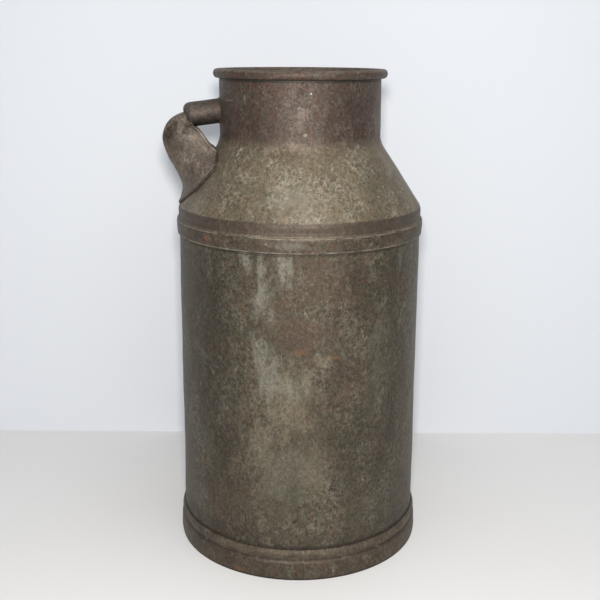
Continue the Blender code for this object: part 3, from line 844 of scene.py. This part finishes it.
def new_group(name, inputs, outputs):
    """An empty node group. Returns its tree, the sockets that come in and the sockets that go out."""
    tree = bpy.data.node_groups.new(name, "ShaderNodeTree")
    for label, start in inputs.items():
        kind = {float: "Float", int: "Vector", tuple: "Color"}[type(start)]
        socket = tree.interface.new_socket(name=label, in_out="INPUT", socket_type="NodeSocket" + kind)
        if kind != "Vector":
            socket.default_value = start
    for label, kind in outputs.items():
        tree.interface.new_socket(name=label, in_out="OUTPUT", socket_type="NodeSocket" + kind)
    return tree, tree.nodes.new("NodeGroupInput").outputs, tree.nodes.new("NodeGroupOutput").inputs


# %% [markdown]
# Where on the can a point lies is said in three ways: how far round it is in degrees, from the front
# towards +X, how high it is in millimetres, and its plain position in millimetres from the axis, for
# patterns.

# %% Group: place on the can
def build_place():
    outputs = {"Around": "Float", "Height": "Float", "Point": "Vector"}
    tree, _, out = new_group("place on the can", {}, outputs)
    here = add(tree, "TexCoord", {}).outputs["Object"]
    moved = add(tree, "VectorMath", {0: here, 1: (AXIS_X, 0, 0)}, operation="SUBTRACT").outputs[0]
    point = add(tree, "VectorMath", {0: moved, "Scale": 1000.0}, operation="SCALE").outputs[0]
    parts = add(tree, "SeparateXYZ", {0: point}).outputs
    angle = calc(tree, "ARCTAN2", parts["X"], times(tree, parts["Y"], -1.0))
    tree.links.new(calc(tree, "DEGREES", angle), out["Around"])
    tree.links.new(parts["Z"], out["Height"])
    tree.links.new(point, out["Point"])
    return tree


place_on_can = build_place()

# %% [markdown]
# Clouds are the pattern under most of the others: noise of a size in millimetres, pulled upright where
# grime ran down, and cut so that it covers about the share that is asked for.

# %% Group: clouds
def build_clouds():
    tree, given, out = new_group(
        "clouds",
        {"Point": 0, "Size": 20.0, "Upright": 1.0, "Seed": 0.0, "Share": 0.5, "Softness": 0.15,
         "Roughness": 0.6},
        {"Mask": "Float"},
    )
    flat = ratio(tree, 1.0, given["Size"])
    tall = ratio(tree, flat, given["Upright"])
    scale = add(tree, "CombineXYZ", {"X": flat, "Y": flat, "Z": tall}).outputs[0]
    sized = add(tree, "VectorMath", {0: given["Point"], 1: scale}, operation="MULTIPLY").outputs[0]
    cloud = add(tree, "TexNoise", {
        "Vector": sized, "W": given["Seed"], "Scale": 1.0, "Detail": 5.0, "Roughness": given["Roughness"],
    }, noise_dimensions="4D").outputs["Fac"]
    edge = minus(tree, 0.72, times(tree, given["Share"], 0.44))
    half = times(tree, given["Softness"], 0.5)
    low = minus(tree, edge, half)
    high = plus(tree, edge, half)
    tree.links.new(soft_step(tree, cloud, low, high), out["Mask"])
    return tree


clouds = build_clouds()


def cloud_mask(tree, point, size, share, seed, upright=1.0, softness=0.15, roughness=0.6):
    inputs = {"Point": point, "Size": size, "Share": share, "Seed": seed, "Upright": upright,
              "Softness": softness, "Roughness": roughness}
    return use(tree, clouds, inputs)["Mask"]


# %% [markdown]
# Specks are cells of a Voronoi pattern, of which only a share is kept. Scratches are the borders of
# very long Voronoi cells, broken off by clouds, so that they are straight, thin and short.

# %% Groups: specks and scratches
def build_specks():
    tree, given, out = new_group(
        "specks", {"Point": 0, "Size": 2.0, "Share": 0.3, "Seed": 0.0}, {"Mask": "Float"},
    )
    scale = ratio(tree, 1.0, given["Size"])
    cells = add(tree, "TexVoronoi", {"Vector": given["Point"], "W": given["Seed"], "Scale": scale},
                voronoi_dimensions="4D").outputs
    draw = add(tree, "SeparateColor", {0: cells["Color"]}).outputs[0]
    chosen = calc(tree, "LESS_THAN", draw, given["Share"])
    dot = fade(tree, cells["Distance"], 0.18, 0.42)
    tree.links.new(times(tree, chosen, dot), out["Mask"])
    return tree


def build_scratches():
    tree, given, out = new_group(
        "scratches", {"Point": 0, "Size": 9.0, "Lean": 0.0, "Share": 0.3, "Seed": 0.0}, {"Mask": "Float"},
    )
    turned = add(tree, "VectorRotate", {
        "Vector": given["Point"], "Axis": (0.3, 0.9, 0.1), "Angle": given["Lean"],
    }).outputs[0]
    scale = ratio(tree, 1.0, given["Size"])
    long_way = times(tree, scale, 0.08)
    sizes = add(tree, "CombineXYZ", {"X": scale, "Y": scale, "Z": long_way}).outputs[0]
    sized = add(tree, "VectorMath", {0: turned, 1: sizes}, operation="MULTIPLY").outputs[0]
    cells = add(tree, "TexVoronoi", {"Vector": sized, "Scale": 1.0}, feature="DISTANCE_TO_EDGE")
    border = cells.outputs["Distance"]
    line = fade(tree, border, 0.006, 0.022)
    kept = cloud_mask(tree, given["Point"], 16.0, given["Share"], given["Seed"])
    tree.links.new(times(tree, line, kept), out["Mask"])
    return tree


specks = build_specks()
scratches = build_scratches()

# %% [markdown]
# A stain has a place: so many degrees round and so many millimetres up, with a half width and a half
# height. Its outline is made ragged with noise. The same group lays painted shade at a place. A band is
# such a mark that goes all round at one height, broken up: wear, and also painted highlights and painted
# shadows along edges.

# %% Groups: stain and shade, band of wear and light
def build_stain_and_shade():
    tree, given, out = new_group(
        "stain_and_shade",
        {"Point": 0, "Around": 0.0, "Height": 0.0, "At": 0.0, "Up": 0.0, "Half width": 5.0,
         "Half height": 10.0, "Ragged": 0.5, "Seed": 0.0},
        {"Mask": "Float"},
    )
    sideways = ratio(tree, minus(tree, given["Around"], given["At"]), given["Half width"])
    upwards = ratio(tree, minus(tree, given["Height"], given["Up"]), given["Half height"])
    squared = plus(tree, times(tree, sideways, sideways), times(tree, upwards, upwards))
    distance = calc(tree, "SQRT", squared)
    cloud = cloud_mask(tree, given["Point"], 11.0, 0.5, given["Seed"], 1.6, 0.5, 0.7)
    raised = times(tree, minus(tree, cloud, 0.5), given["Ragged"])
    edge = plus(tree, distance, times(tree, raised, 2.0))
    inside = fade(tree, edge, 0.35, 1.25)
    fine = cloud_mask(tree, given["Point"], 3.6, 0.58, plus(tree, given["Seed"], 4.4), 1.3, 0.16, 0.8)
    broken = plus(tree, 0.22, times(tree, fine, 0.78))
    tree.links.new(times(tree, inside, broken), out["Mask"])
    return tree


def build_wear_and_light_band():
    tree, given, out = new_group(
        "wear and light band",
        {"Point": 0, "Height": 0.0, "Up": 0.0, "Half height": 1.0, "Share": 0.6, "Seed": 0.0},
        {"Mask": "Float"},
    )
    away = calc(tree, "ABSOLUTE", minus(tree, given["Height"], given["Up"]))
    band = fade(tree, ratio(tree, away, given["Half height"]), 0.7, 1.0)
    broken = cloud_mask(tree, given["Point"], 13.0, given["Share"], given["Seed"], softness=0.25)
    tree.links.new(times(tree, band, broken), out["Mask"])
    return tree


stain_and_shade = build_stain_and_shade()
wear_and_light_band = build_wear_and_light_band()

# %% [markdown]
# ## Old tin
#
# The ground of every finish. Clouds of a darker tone lie over the base, with smaller clouds in them.
# Pale bloom comes in clouds that are broken up by fine ones, rust and grey green in smaller clouds, and
# grain varies all. Bloom and rust are rougher than tin, and rust isn't metal, so the group puts out
# those values too, and a height, because rust stands up and pits sink.

# %% Group: old tin
def build_old_tin():
    tree, given, out = new_group(
        "old tin",
        {"Point": 0, "Base": tone(110, 98, 82), "Dark": tone(70, 60, 50), "Pale": tone(150, 142, 128),
         "Rust": tone(108, 70, 46), "Green": tone(84, 92, 84), "Dark share": 0.5, "Pale share": 0.4,
         "Rust share": 0.3, "Size": 34.0, "Upright": 1.8, "Seed": 0.0},
        {"Color": "Color", "Roughness": "Float", "Metallic": "Float", "Height": "Float"},
    )
    point, seed = given["Point"], given["Seed"]
    broad = cloud_mask(tree, point, given["Size"], given["Dark share"], seed, given["Upright"], 0.30, 0.62)
    small = cloud_mask(tree, point, 6.5, given["Dark share"], plus(tree, seed, 3.1), 1.4, 0.30, 0.7)
    dark = plus(tree, times(tree, broad, 0.40), times(tree, small, 0.34))
    color = mixed(tree, dark, given["Base"], given["Dark"])

    bloom = cloud_mask(tree, point, times(tree, given["Size"], 0.8), given["Pale share"],
                       plus(tree, seed, 7.7), given["Upright"], 0.25, 0.65)
    dust = cloud_mask(tree, point, 3.4, 0.50, plus(tree, seed, 9.4), 1.2, 0.12, 0.8)
    pale = times(tree, plus(tree, bloom, 0.35), times(tree, dust, 0.62))
    color = mixed(tree, pale, color, given["Pale"])

    rusty = cloud_mask(tree, point, times(tree, given["Size"], 0.6), given["Rust share"],
                       plus(tree, seed, 13.2), 1.5, 0.22, 0.7)
    scale = cloud_mask(tree, point, 3.0, 0.42, plus(tree, seed, 15.9), 1.0, 0.12, 0.8)
    rust = times(tree, plus(tree, rusty, 0.30), times(tree, scale, 0.72))
    color = mixed(tree, rust, color, given["Rust"])

    green = cloud_mask(tree, point, 5.0, 0.42, plus(tree, seed, 18.3), 1.8, 0.16, 0.8)
    color = mixed(tree, times(tree, green, 0.30), color, given["Green"])
    grain = cloud_mask(tree, point, 2.6, 0.5, plus(tree, seed, 21.0), 1.0, 0.30, 0.85)
    value = plus(tree, 0.60, times(tree, grain, 0.70))
    color = add(tree, "HueSaturation", {"Value": value, "Color": color}).outputs[0]
    pits = use(tree, specks, {"Point": point, "Size": 2.3, "Share": 0.16, "Seed": seed})["Mask"]
    color = mixed(tree, times(tree, pits, 0.55), color, given["Dark"])

    tree.links.new(color, out["Color"])
    rough = plus(tree, 0.46, times(tree, pale, 0.16))
    rough = plus(tree, rough, times(tree, rust, 0.30))
    tree.links.new(plus(tree, rough, times(tree, grain, 0.08)), out["Roughness"])
    metal = minus(tree, 0.55, times(tree, rust, 0.5))
    tree.links.new(minus(tree, metal, times(tree, pale, 0.25)), out["Metallic"])
    height = plus(tree, times(tree, rust, 0.8), times(tree, grain, 0.35))
    tree.links.new(minus(tree, height, times(tree, pits, 0.6)), out["Height"])
    return tree


old_tin = build_old_tin()

# %% [markdown]
# ## From ground to finish
#
# A finish takes the old tin with its own tones, lays its stains, painted shades and bands on in order,
# adds fine specks and scratches, and ends in one Principled shader. Stains and painted shades are
# written as (tone, degrees round, millimetres up, half width, half height, strength). Bands of wear,
# painted highlight and painted shadow are (tone, millimetres up, half height, share, strength).

# %% Tool: make a finish
# The pale steel tone serves scratches and rubbed edges, and also painted highlights.
# The soot tone serves soot and grime, and also painted shadow and shade.
BLOOM = tone(134, 131, 118)
BRIGHT_STEEL_AND_HIGHLIGHT = tone(160, 152, 140)
KHAKI = tone(126, 115, 96)
OLIVE = tone(86, 83, 64)
RUSSET = tone(88, 63, 50)
UMBER = tone(52, 40, 31)
SOOT_AND_SHADOW = tone(46, 41, 34)
ORANGE = tone(138, 90, 54)
WHITE = tone(196, 192, 184)
PURPLE = tone(66, 53, 46)


def new_material(name):
    """An empty material, its node tree and its Principled shader."""
    made = bpy.data.materials.new(name)
    made.use_nodes = True
    return made, made.node_tree, made.node_tree.nodes["Principled BSDF"]


def make_finish(name, ground, stains_and_shades=(), lines=(), scratch_share=0.25, scratch_strength=0.5, above=None,
                speckle=0.12):
    """A material: old tin with these values, then stains and painted shades, bands of wear and painted
    light, speckle and scratches over it.

    Above is a second ground for what lies higher: (millimetres up, half height of the change, ground).
    """
    made, tree, shader = new_material(name)
    place = use(tree, place_on_can, {})
    point = place["Point"]
    tin = use(tree, old_tin, {"Point": point, **ground})
    color = tin["Color"]
    if above:
        change, half, upper_ground = above
        upper = use(tree, old_tin, {"Point": point, **upper_ground})
        ragged = cloud_mask(tree, point, 12.0, 0.5, 61.0, softness=0.6, roughness=0.75)
        height = plus(tree, place["Height"], times(tree, ragged, half))
        color = mixed(tree, soft_step(tree, height, change - half, change + half), color, upper["Color"])
    for number, (stain_and_shade_tone, around, up, half_width, half_height, strength) in enumerate(stains_and_shades):
        mask = use(tree, stain_and_shade, {
            "Point": point, "Around": place["Around"], "Height": place["Height"], "At": around, "Up": up,
            "Half width": half_width, "Half height": half_height, "Ragged": 0.75, "Seed": number * 1.7,
        })["Mask"]
        color = mixed(tree, times(tree, mask, strength), color, stain_and_shade_tone)
    for number, (line_tone, up, half_height, share, strength) in enumerate(lines):
        mask = use(tree, wear_and_light_band, {
            "Point": point, "Height": place["Height"], "Up": up, "Half height": half_height, "Share": share,
            "Seed": 40 + number * 2.3,
        })["Mask"]
        color = mixed(tree, times(tree, mask, strength), color, line_tone)
    for speck_tone, share, seed in ((SOOT_AND_SHADOW, 0.50, 71.0), (BLOOM, 0.30, 77.0)):
        mask = cloud_mask(tree, point, 3.0, share, seed, upright=1.2, softness=0.10, roughness=0.85)
        color = mixed(tree, times(tree, mask, speckle), color, speck_tone)
    for lean, seed in ((0.12, 51.0), (1.25, 57.0)):
        mask = use(tree, scratches, {
            "Point": point, "Lean": lean, "Share": scratch_share, "Seed": seed,
        })["Mask"]
        color = mixed(tree, times(tree, mask, scratch_strength), color, BRIGHT_STEEL_AND_HIGHLIGHT)
    bump = add(tree, "Bump", {"Height": tin["Height"], "Strength": 0.45, "Distance": 0.0004})
    tree.links.new(color, shader.inputs["Base Color"])
    tree.links.new(tin["Roughness"], shader.inputs["Roughness"])
    tree.links.new(tin["Metallic"], shader.inputs["Metallic"])
    tree.links.new(bump.outputs["Normal"], shader.inputs["Normal"])
    return made


def paint(material, *names):
    """Gives pieces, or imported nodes, this material."""
    for name in names:
        if name in pieces:
            pieces[name].data.materials.append(material)
        else:
            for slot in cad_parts[name].material_slots:
                slot.material = material


# %% [markdown]
# ## Body finish
#
# The body is the largest surface and has the most history: pale drips under the hoop, where water ran
# from the joint, a pale wide patch at the middle, a dark strip towards the handle's side, and brown
# grime near the foot.

# %% Body finish
body_ground = {
    "Base": tone(78, 69, 52), "Dark": tone(43, 36, 25),
    "Pale": tone(118, 113, 96), "Rust": tone(90, 53, 32),
    "Dark share": 0.50, "Pale share": 0.42, "Rust share": 0.34, "Size": 34.0, "Upright": 2.2, "Seed": 1.0,
}
body_stains = [
    (SOOT_AND_SHADOW, -49, 230, 13, 150, 0.50), (UMBER, -43, 138, 8, 36, 0.55), (UMBER, -34, 46, 16, 17, 0.60),
    (UMBER, -70, 42, 30, 12, 0.45), (OLIVE, -12, 110, 18, 52, 0.45), (KHAKI, -13, 195, 13, 46, 0.60),
    (RUSSET, -8, 270, 13, 20, 0.45), (RUSSET, 8, 322, 18, 34, 0.42), (SOOT_AND_SHADOW, 27, 140, 18, 34, 0.40),
    (OLIVE, 30, 230, 7, 60, 0.50), (RUSSET, 16, 222, 8, 30, 0.40), (SOOT_AND_SHADOW, 16, 322, 3.2, 7, 0.60),
    (BLOOM, -32, 345, 2.6, 12, 0.75), (BLOOM, -24.5, 326, 2.4, 32, 0.75), (BLOOM, -15, 338, 1.9, 21, 0.65),
    (BLOOM, -12, 336, 1.6, 22, 0.55), (BLOOM, -24, 300, 5.5, 16, 0.60), (BLOOM, -24, 244, 6, 24, 0.60),
    (BLOOM, -20, 218, 7, 20, 0.50), (ORANGE, -7, 252, 4, 5, 0.40), (ORANGE, 8, 246, 3, 4, 0.35),
    (RUSSET, -4, 182, 4, 6, 0.40), (BLOOM, 44, 338, 1.6, 24, 0.35), (BLOOM, 56, 342, 1.5, 18, 0.40),
    (BLOOM, -10, 216, 10, 12, 0.40), (BLOOM, -16, 120, 14, 34, 0.25), (KHAKI, 3, 241, 4, 9, 0.55),
    (KHAKI, -25, 150, 6, 26, 0.40), (SOOT_AND_SHADOW, 40, 150, 4, 70, 0.35), (BLOOM, 30, 240, 3, 60, 0.25),
    (KHAKI, 0, 120, 7, 30, 0.40), (BLOOM, 64, 250, 10, 120, 0.25),
    (UMBER, 130, 250, 25, 120, 0.35), (KHAKI, -150, 180, 22, 70, 0.35), (BLOOM, 165, 330, 3, 26, 0.45),
    (BLOOM, 105, 335, 2.5, 20, 0.45), (SOOT_AND_SHADOW, -110, 250, 20, 110, 0.35), (RUSSET, 95, 120, 16, 40, 0.35),
]
body_lines = [(UMBER, 42.0, 10.0, 0.55, 0.45), (SOOT_AND_SHADOW, 35.0, 2.5, 0.9, 0.60), (SOOT_AND_SHADOW, 352.0, 2.0, 0.8, 0.55)]
body_finish = make_finish("body_tin", body_ground, body_stains, body_lines, 0.22, 0.35, speckle=0.30)
paint(body_finish, "body_fine", "body_seam")

# %% [markdown]
# ## Finish of neck, solder and breast
#
# The cone looks up to the sky and has gathered dust, so it is the palest part, a dry khaki grey. Hands
# and lids have kept the neck dark, a brown with some purple in it. The change from one to the other
# runs through the solder, so all three pieces get the same two grounds, and the change is a ragged line
# at one height.

# %% Finish of neck, solder and breast
breast_ground = {
    "Base": tone(120, 107, 85), "Dark": tone(80, 69, 51),
    "Pale": tone(154, 146, 128), "Rust": tone(108, 74, 50),
    "Dark share": 0.45, "Pale share": 0.45, "Rust share": 0.32, "Size": 26.0, "Upright": 1.1, "Seed": 5.0,
}
neck_ground = {
    "Base": tone(80, 64, 54), "Dark": tone(54, 40, 33),
    "Pale": tone(120, 107, 98), "Rust": tone(90, 52, 38),
    "Dark share": 0.50, "Pale share": 0.30, "Rust share": 0.40, "Size": 24.0, "Upright": 1.8, "Seed": 9.0,
}
top_stains = [
    (OLIVE, 40, 415, 16, 26, 0.30), (BLOOM, -10, 402, 13, 20, 0.40), (OLIVE, -30, 411, 17, 4, 0.50),
    (RUSSET, 0, 446, 30, 7, 0.35), (OLIVE, -60, 420, 14, 22, 0.35), (OLIVE, 120, 420, 30, 25, 0.35),
    (BLOOM, 170, 410, 20, 22, 0.35), (OLIVE, -140, 415, 22, 20, 0.40), (UMBER, 55, 405, 8, 20, 0.20),
    (SOOT_AND_SHADOW, -6, 488, 9, 28, 0.12), (UMBER, 32, 482, 16, 26, 0.40), (BLOOM, -7, 484, 3, 14, 0.25),
    (UMBER, -46, 480, 10, 24, 0.30), (KHAKI, 66, 475, 9, 24, 0.25), (UMBER, 120, 490, 25, 26, 0.35),
    (WHITE, -1, 507, 0.6, 0.9, 0.90), (WHITE, 45, 513, 0.6, 0.8, 0.80), (BLOOM, -4, 466, 1.3, 1.7, 0.60),
    (BLOOM, -48, 500, 1.2, 5.5, 0.70), (BLOOM, -65, 498, 5.0, 1.2, 0.70), (WHITE, -50, 449, 1.0, 1.4, 0.55),
    (BLOOM, 40, 380, 1.0, 4.0, 0.45), (WHITE, 34, 404, 1.2, 0.9, 0.50),
]
# At the rim, a painted shadow under the roll and a paler painted highlight along the roll's top.
# Bands at the top: a dark band over the skirt, and a painted highlight along the shoulder's round edge.
top_lines = [
    (PURPLE, 377.0, 7.6, 1.2, 0.78), (BRIGHT_STEEL_AND_HIGHLIGHT, 383.4, 0.9, 0.30, 0.30), (SOOT_AND_SHADOW, 518.8, 2.0, 1.2, 0.85),
    (KHAKI, 529.0, 2.4, 0.6, 0.35),
]
neck_from = (459.0, 9.0, neck_ground)
for name in ("neck", "neck_solder", "breast"):
    finish = make_finish(name + "_tin", breast_ground, top_stains, top_lines, 0.16, 0.35, neck_from)
    paint(finish, name + "_fine")
wire_ground = {**neck_ground, "Size": 6.0, "Seed": 15.0}
paint(make_finish("wire_steel_dark", wire_ground), "rim_wire")

# %% [markdown]
# ## Solder beads, hoops, bottom and handle
# The same tools, with other tones. The hand-run solder beads on the handle have rusted brown. The hoops
# are paler along their edges, partly rubbed bright and partly a painted highlight, and the foot hoop has
# painted shade in its groove and along its bottom edge. The handle is worn smoother and greyer by hands.
# Its hem is painted paler, and the grip's underside and the hood under the grip's end carry painted shade.
# The hoops
# are rubbed bright along their edges. The handle is worn smoother and greyer by hands.

# %% Solder bead finish
rusty_ground = {
    "Base": tone(68, 56, 44), "Dark": tone(46, 37, 29),
    "Pale": tone(100, 88, 73), "Rust": tone(74, 54, 40),
    "Dark share": 0.55, "Pale share": 0.20, "Rust share": 0.50, "Size": 9.0, "Upright": 1.0, "Seed": 17.0,
}
paint(make_finish("rusty_solder", rusty_ground), "hood_foot_solder", "grip_solder")

# %% Hoop finish
hoop_ground = {
    "Base": tone(76, 65, 51), "Dark": tone(52, 41, 30),
    "Pale": tone(114, 104, 88), "Rust": tone(90, 55, 35),
    "Dark share": 0.50, "Pale share": 0.34, "Rust share": 0.42, "Size": 16.0, "Upright": 0.8, "Seed": 21.0,
}
hoop_stains = [
    (ORANGE, -52, 362, 3.0, 3.5, 0.65), (ORANGE, -35, 5, 2.2, 3.0, 0.65),
    (BLOOM, -12, 362, 9, 6, 0.40), (UMBER, -48, 15, 26, 12, 0.35),
]
# Bands: the breast hoop's top edge is paler, partly rubbed bright, partly a painted highlight.
# Its bottom edge is rubbed bright. The foot hoop's bead has a paler painted highlight.
# The foot hoop's groove gets painted shade, and its bottom edge a painted contact shadow.
hoop_lines = [
    (BRIGHT_STEEL_AND_HIGHLIGHT, 368.6, 0.6, 0.60, 0.50), (BRIGHT_STEEL_AND_HIGHLIGHT, 354.4, 0.7, 0.55, 0.45),
    (KHAKI, 29.0, 4.0, 0.55, 0.22), (UMBER, 21.8, 1.0, 1.0, 0.70), (SOOT_AND_SHADOW, 0.5, 1.8, 1.2, 0.85),
]
paint(make_finish("hoop_tin", hoop_ground, hoop_stains, hoop_lines), "breast_hoop_fine", "foot_hoop_fine")

# %% Bottom, handle and rivet finishes
bottom_ground = {**body_ground, "Base": tone(86, 76, 62), "Rust share": 0.5, "Seed": 25.0}
paint(make_finish("bottom_tin", bottom_ground), "bottom_fine")
handle_ground = {
    "Base": tone(112, 100, 88), "Dark": tone(64, 54, 45),
    "Pale": tone(146, 135, 121), "Rust": tone(100, 68, 52),
    "Dark share": 0.45, "Pale share": 0.38, "Rust share": 0.40, "Size": 18.0, "Upright": 1.4, "Seed": 29.0,
}
# Painted shadow: dark patches under the grip's end, on both sides of the hood's middle, where the grip's
# shadow falls. The russet patch between them is rust.
hood_shadow_and_rust = [
    (UMBER, -85.5, 462, 3.2, 13, 0.90), (UMBER, -81, 449, 4.5, 9, 0.60), (RUSSET, -88, 444, 3.5, 10, 0.45),
    (UMBER, -94.5, 462, 3.2, 13, 0.90), (UMBER, -99, 449, 4.5, 9, 0.60),
]
paint(make_finish("handle_tin", handle_ground, hood_shadow_and_rust, (), 0.25, 0.4), "handle_hood_fine")
# The hem is painted paler than the hood: partly worn bright, partly a painted highlight along its edge.
hem_ground = {**handle_ground, "Base": tone(150, 138, 122), "Dark": tone(112, 100, 86), "Seed": 31.0}
paint(make_finish("hem_tin", hem_ground), "hood_hem_near", "hood_hem_far")
grip_ground = {
    **handle_ground, "Base": tone(84, 73, 66), "Dark": tone(52, 43, 38), "Pale": tone(108, 96, 88),
    "Seed": 33.0,
}
# Painted shade: the grip's underside is painted dark, where light from above doesn't reach.
grip_underside_shade = [(SOOT_AND_SHADOW, -90, 473, 60, 12, 1.0), (SOOT_AND_SHADOW, -90, 470, 60, 9, 0.8)]
paint(make_finish("grip_tin", grip_ground, grip_underside_shade, (), 0.20, 0.3), "handle_grip_fine")
rivet_ground = {**handle_ground, "Size": 5.0, "Seed": 37.0}
paint(make_finish("rivet_tin", rivet_ground), "rivet_upper", "rivet_lower")

# %% [markdown]
# ## Room, light and camera
#
# The can stands on a pale floor, a hand's breadth in front of a pale wall. One soft light hangs
# overhead, the room itself is pale, and a small light stands just above the camera, which gives the
# short soft shadows. The wall is square to the camera. It is see-through from behind, so that the can
# can be looked at from the back.

# %% Floor and wall
CAMERA_TURN = math.radians(-8.0)
WALL_BEHIND = 0.256
WALL_SIZE = 5.0
FLOOR_SIZE = 8.0


def stage_board(name, size, colour, matrix):
    """A flat board for the room. Returns the node tree of its paint."""
    shape = bmesh.new()
    bmesh.ops.create_grid(shape, x_segments=1, y_segments=1, size=size / 2)
    bmesh.ops.transform(shape, matrix=matrix, verts=shape.verts)
    board = link_object(name, to_mesh(name, shape))
    material, tree, shader = new_material(name + "_paint")
    shader.inputs["Base Color"].default_value = colour
    shader.inputs["Roughness"].default_value = 0.9
    shader.inputs["Specular IOR Level"].default_value = 0.1
    board.data.materials.append(material)
    return tree


turned_room = Matrix.Translation((AXIS_X, 0, 0)) @ Matrix.Rotation(CAMERA_TURN, 4, "Z")
stage_board("floor", FLOOR_SIZE, tone(232, 230, 228), Matrix.Identity(4))
upright = Matrix.Rotation(math.pi / 2, 4, "X")
wall_place = turned_room @ Matrix.Translation((0, WALL_BEHIND, WALL_SIZE / 2)) @ upright
wall_tree = stage_board("wall", WALL_SIZE, tone(226, 229, 234), wall_place)
painted = wall_tree.nodes["Principled BSDF"].outputs[0]
see_through = add(wall_tree, "BsdfTransparent", {}).outputs[0]
behind = add(wall_tree, "NewGeometry", {}).outputs["Backfacing"]
both = add(wall_tree, "MixShader", {0: behind, 1: painted, 2: see_through})
wall_tree.links.new(both.outputs[0], wall_tree.nodes["Material Output"].inputs["Surface"])

# %% Lights
def area_light(name, size, power, colour, place, target):
    """A square soft light at a place, turned to its target."""
    lamp = bpy.data.lights.new(name, "AREA")
    lamp.size = size
    lamp.energy = power
    lamp.color = colour
    light = link_object(name, lamp)
    light.location = place
    light.rotation_euler = (target - place).to_track_quat("-Z", "Y").to_euler()


CAMERA_PLACE = Vector((0.0021, -1.0313, 0.5517))
LIGHT_OVER_LENS = Vector((0, 0, 0.09))
ROOM_TINT = (0.90, 0.94, 1.0, 1.0)
ROOM_STRENGTH = 0.32
can_middle = Vector((AXIS_X, 0, CAN_HEIGHT / 2))
front_place = turned_room @ (CAMERA_PLACE + LIGHT_OVER_LENS)
area_light("front_light", 0.08, 11.0, (1.0, 0.98, 0.95), front_place, can_middle)
area_light("overhead_light", 1.6, 8.0, (0.97, 0.99, 1.0), Vector((0.2, -0.7, 1.7)), can_middle)
world = bpy.data.worlds.new("pale_room")
world.use_nodes = True
room_light = world.node_tree.nodes["Background"]
room_light.inputs["Color"].default_value = ROOM_TINT
room_light.inputs["Strength"].default_value = ROOM_STRENGTH
bpy.context.scene.world = world
bpy.context.scene.view_settings.view_transform = "Standard"

# %% Camera
LENS = 56.16
LENS_SHIFT = (-0.0021, -0.0709)
TILT_DOWN = 12.637
ROLL = 0.329
camera_data = bpy.data.cameras.new("camera")
camera_data.sensor_width = 36.0
camera_data.lens = LENS
camera_data.shift_x, camera_data.shift_y = LENS_SHIFT
camera = link_object("camera", camera_data)
looking_down = Matrix.Rotation(math.radians(90 - TILT_DOWN), 4, "X")
roll = Matrix.Rotation(math.radians(ROLL), 4, "Z")
camera.matrix_world = turned_room @ Matrix.Translation(CAMERA_PLACE) @ looking_down @ roll
bpy.context.scene.camera = camera
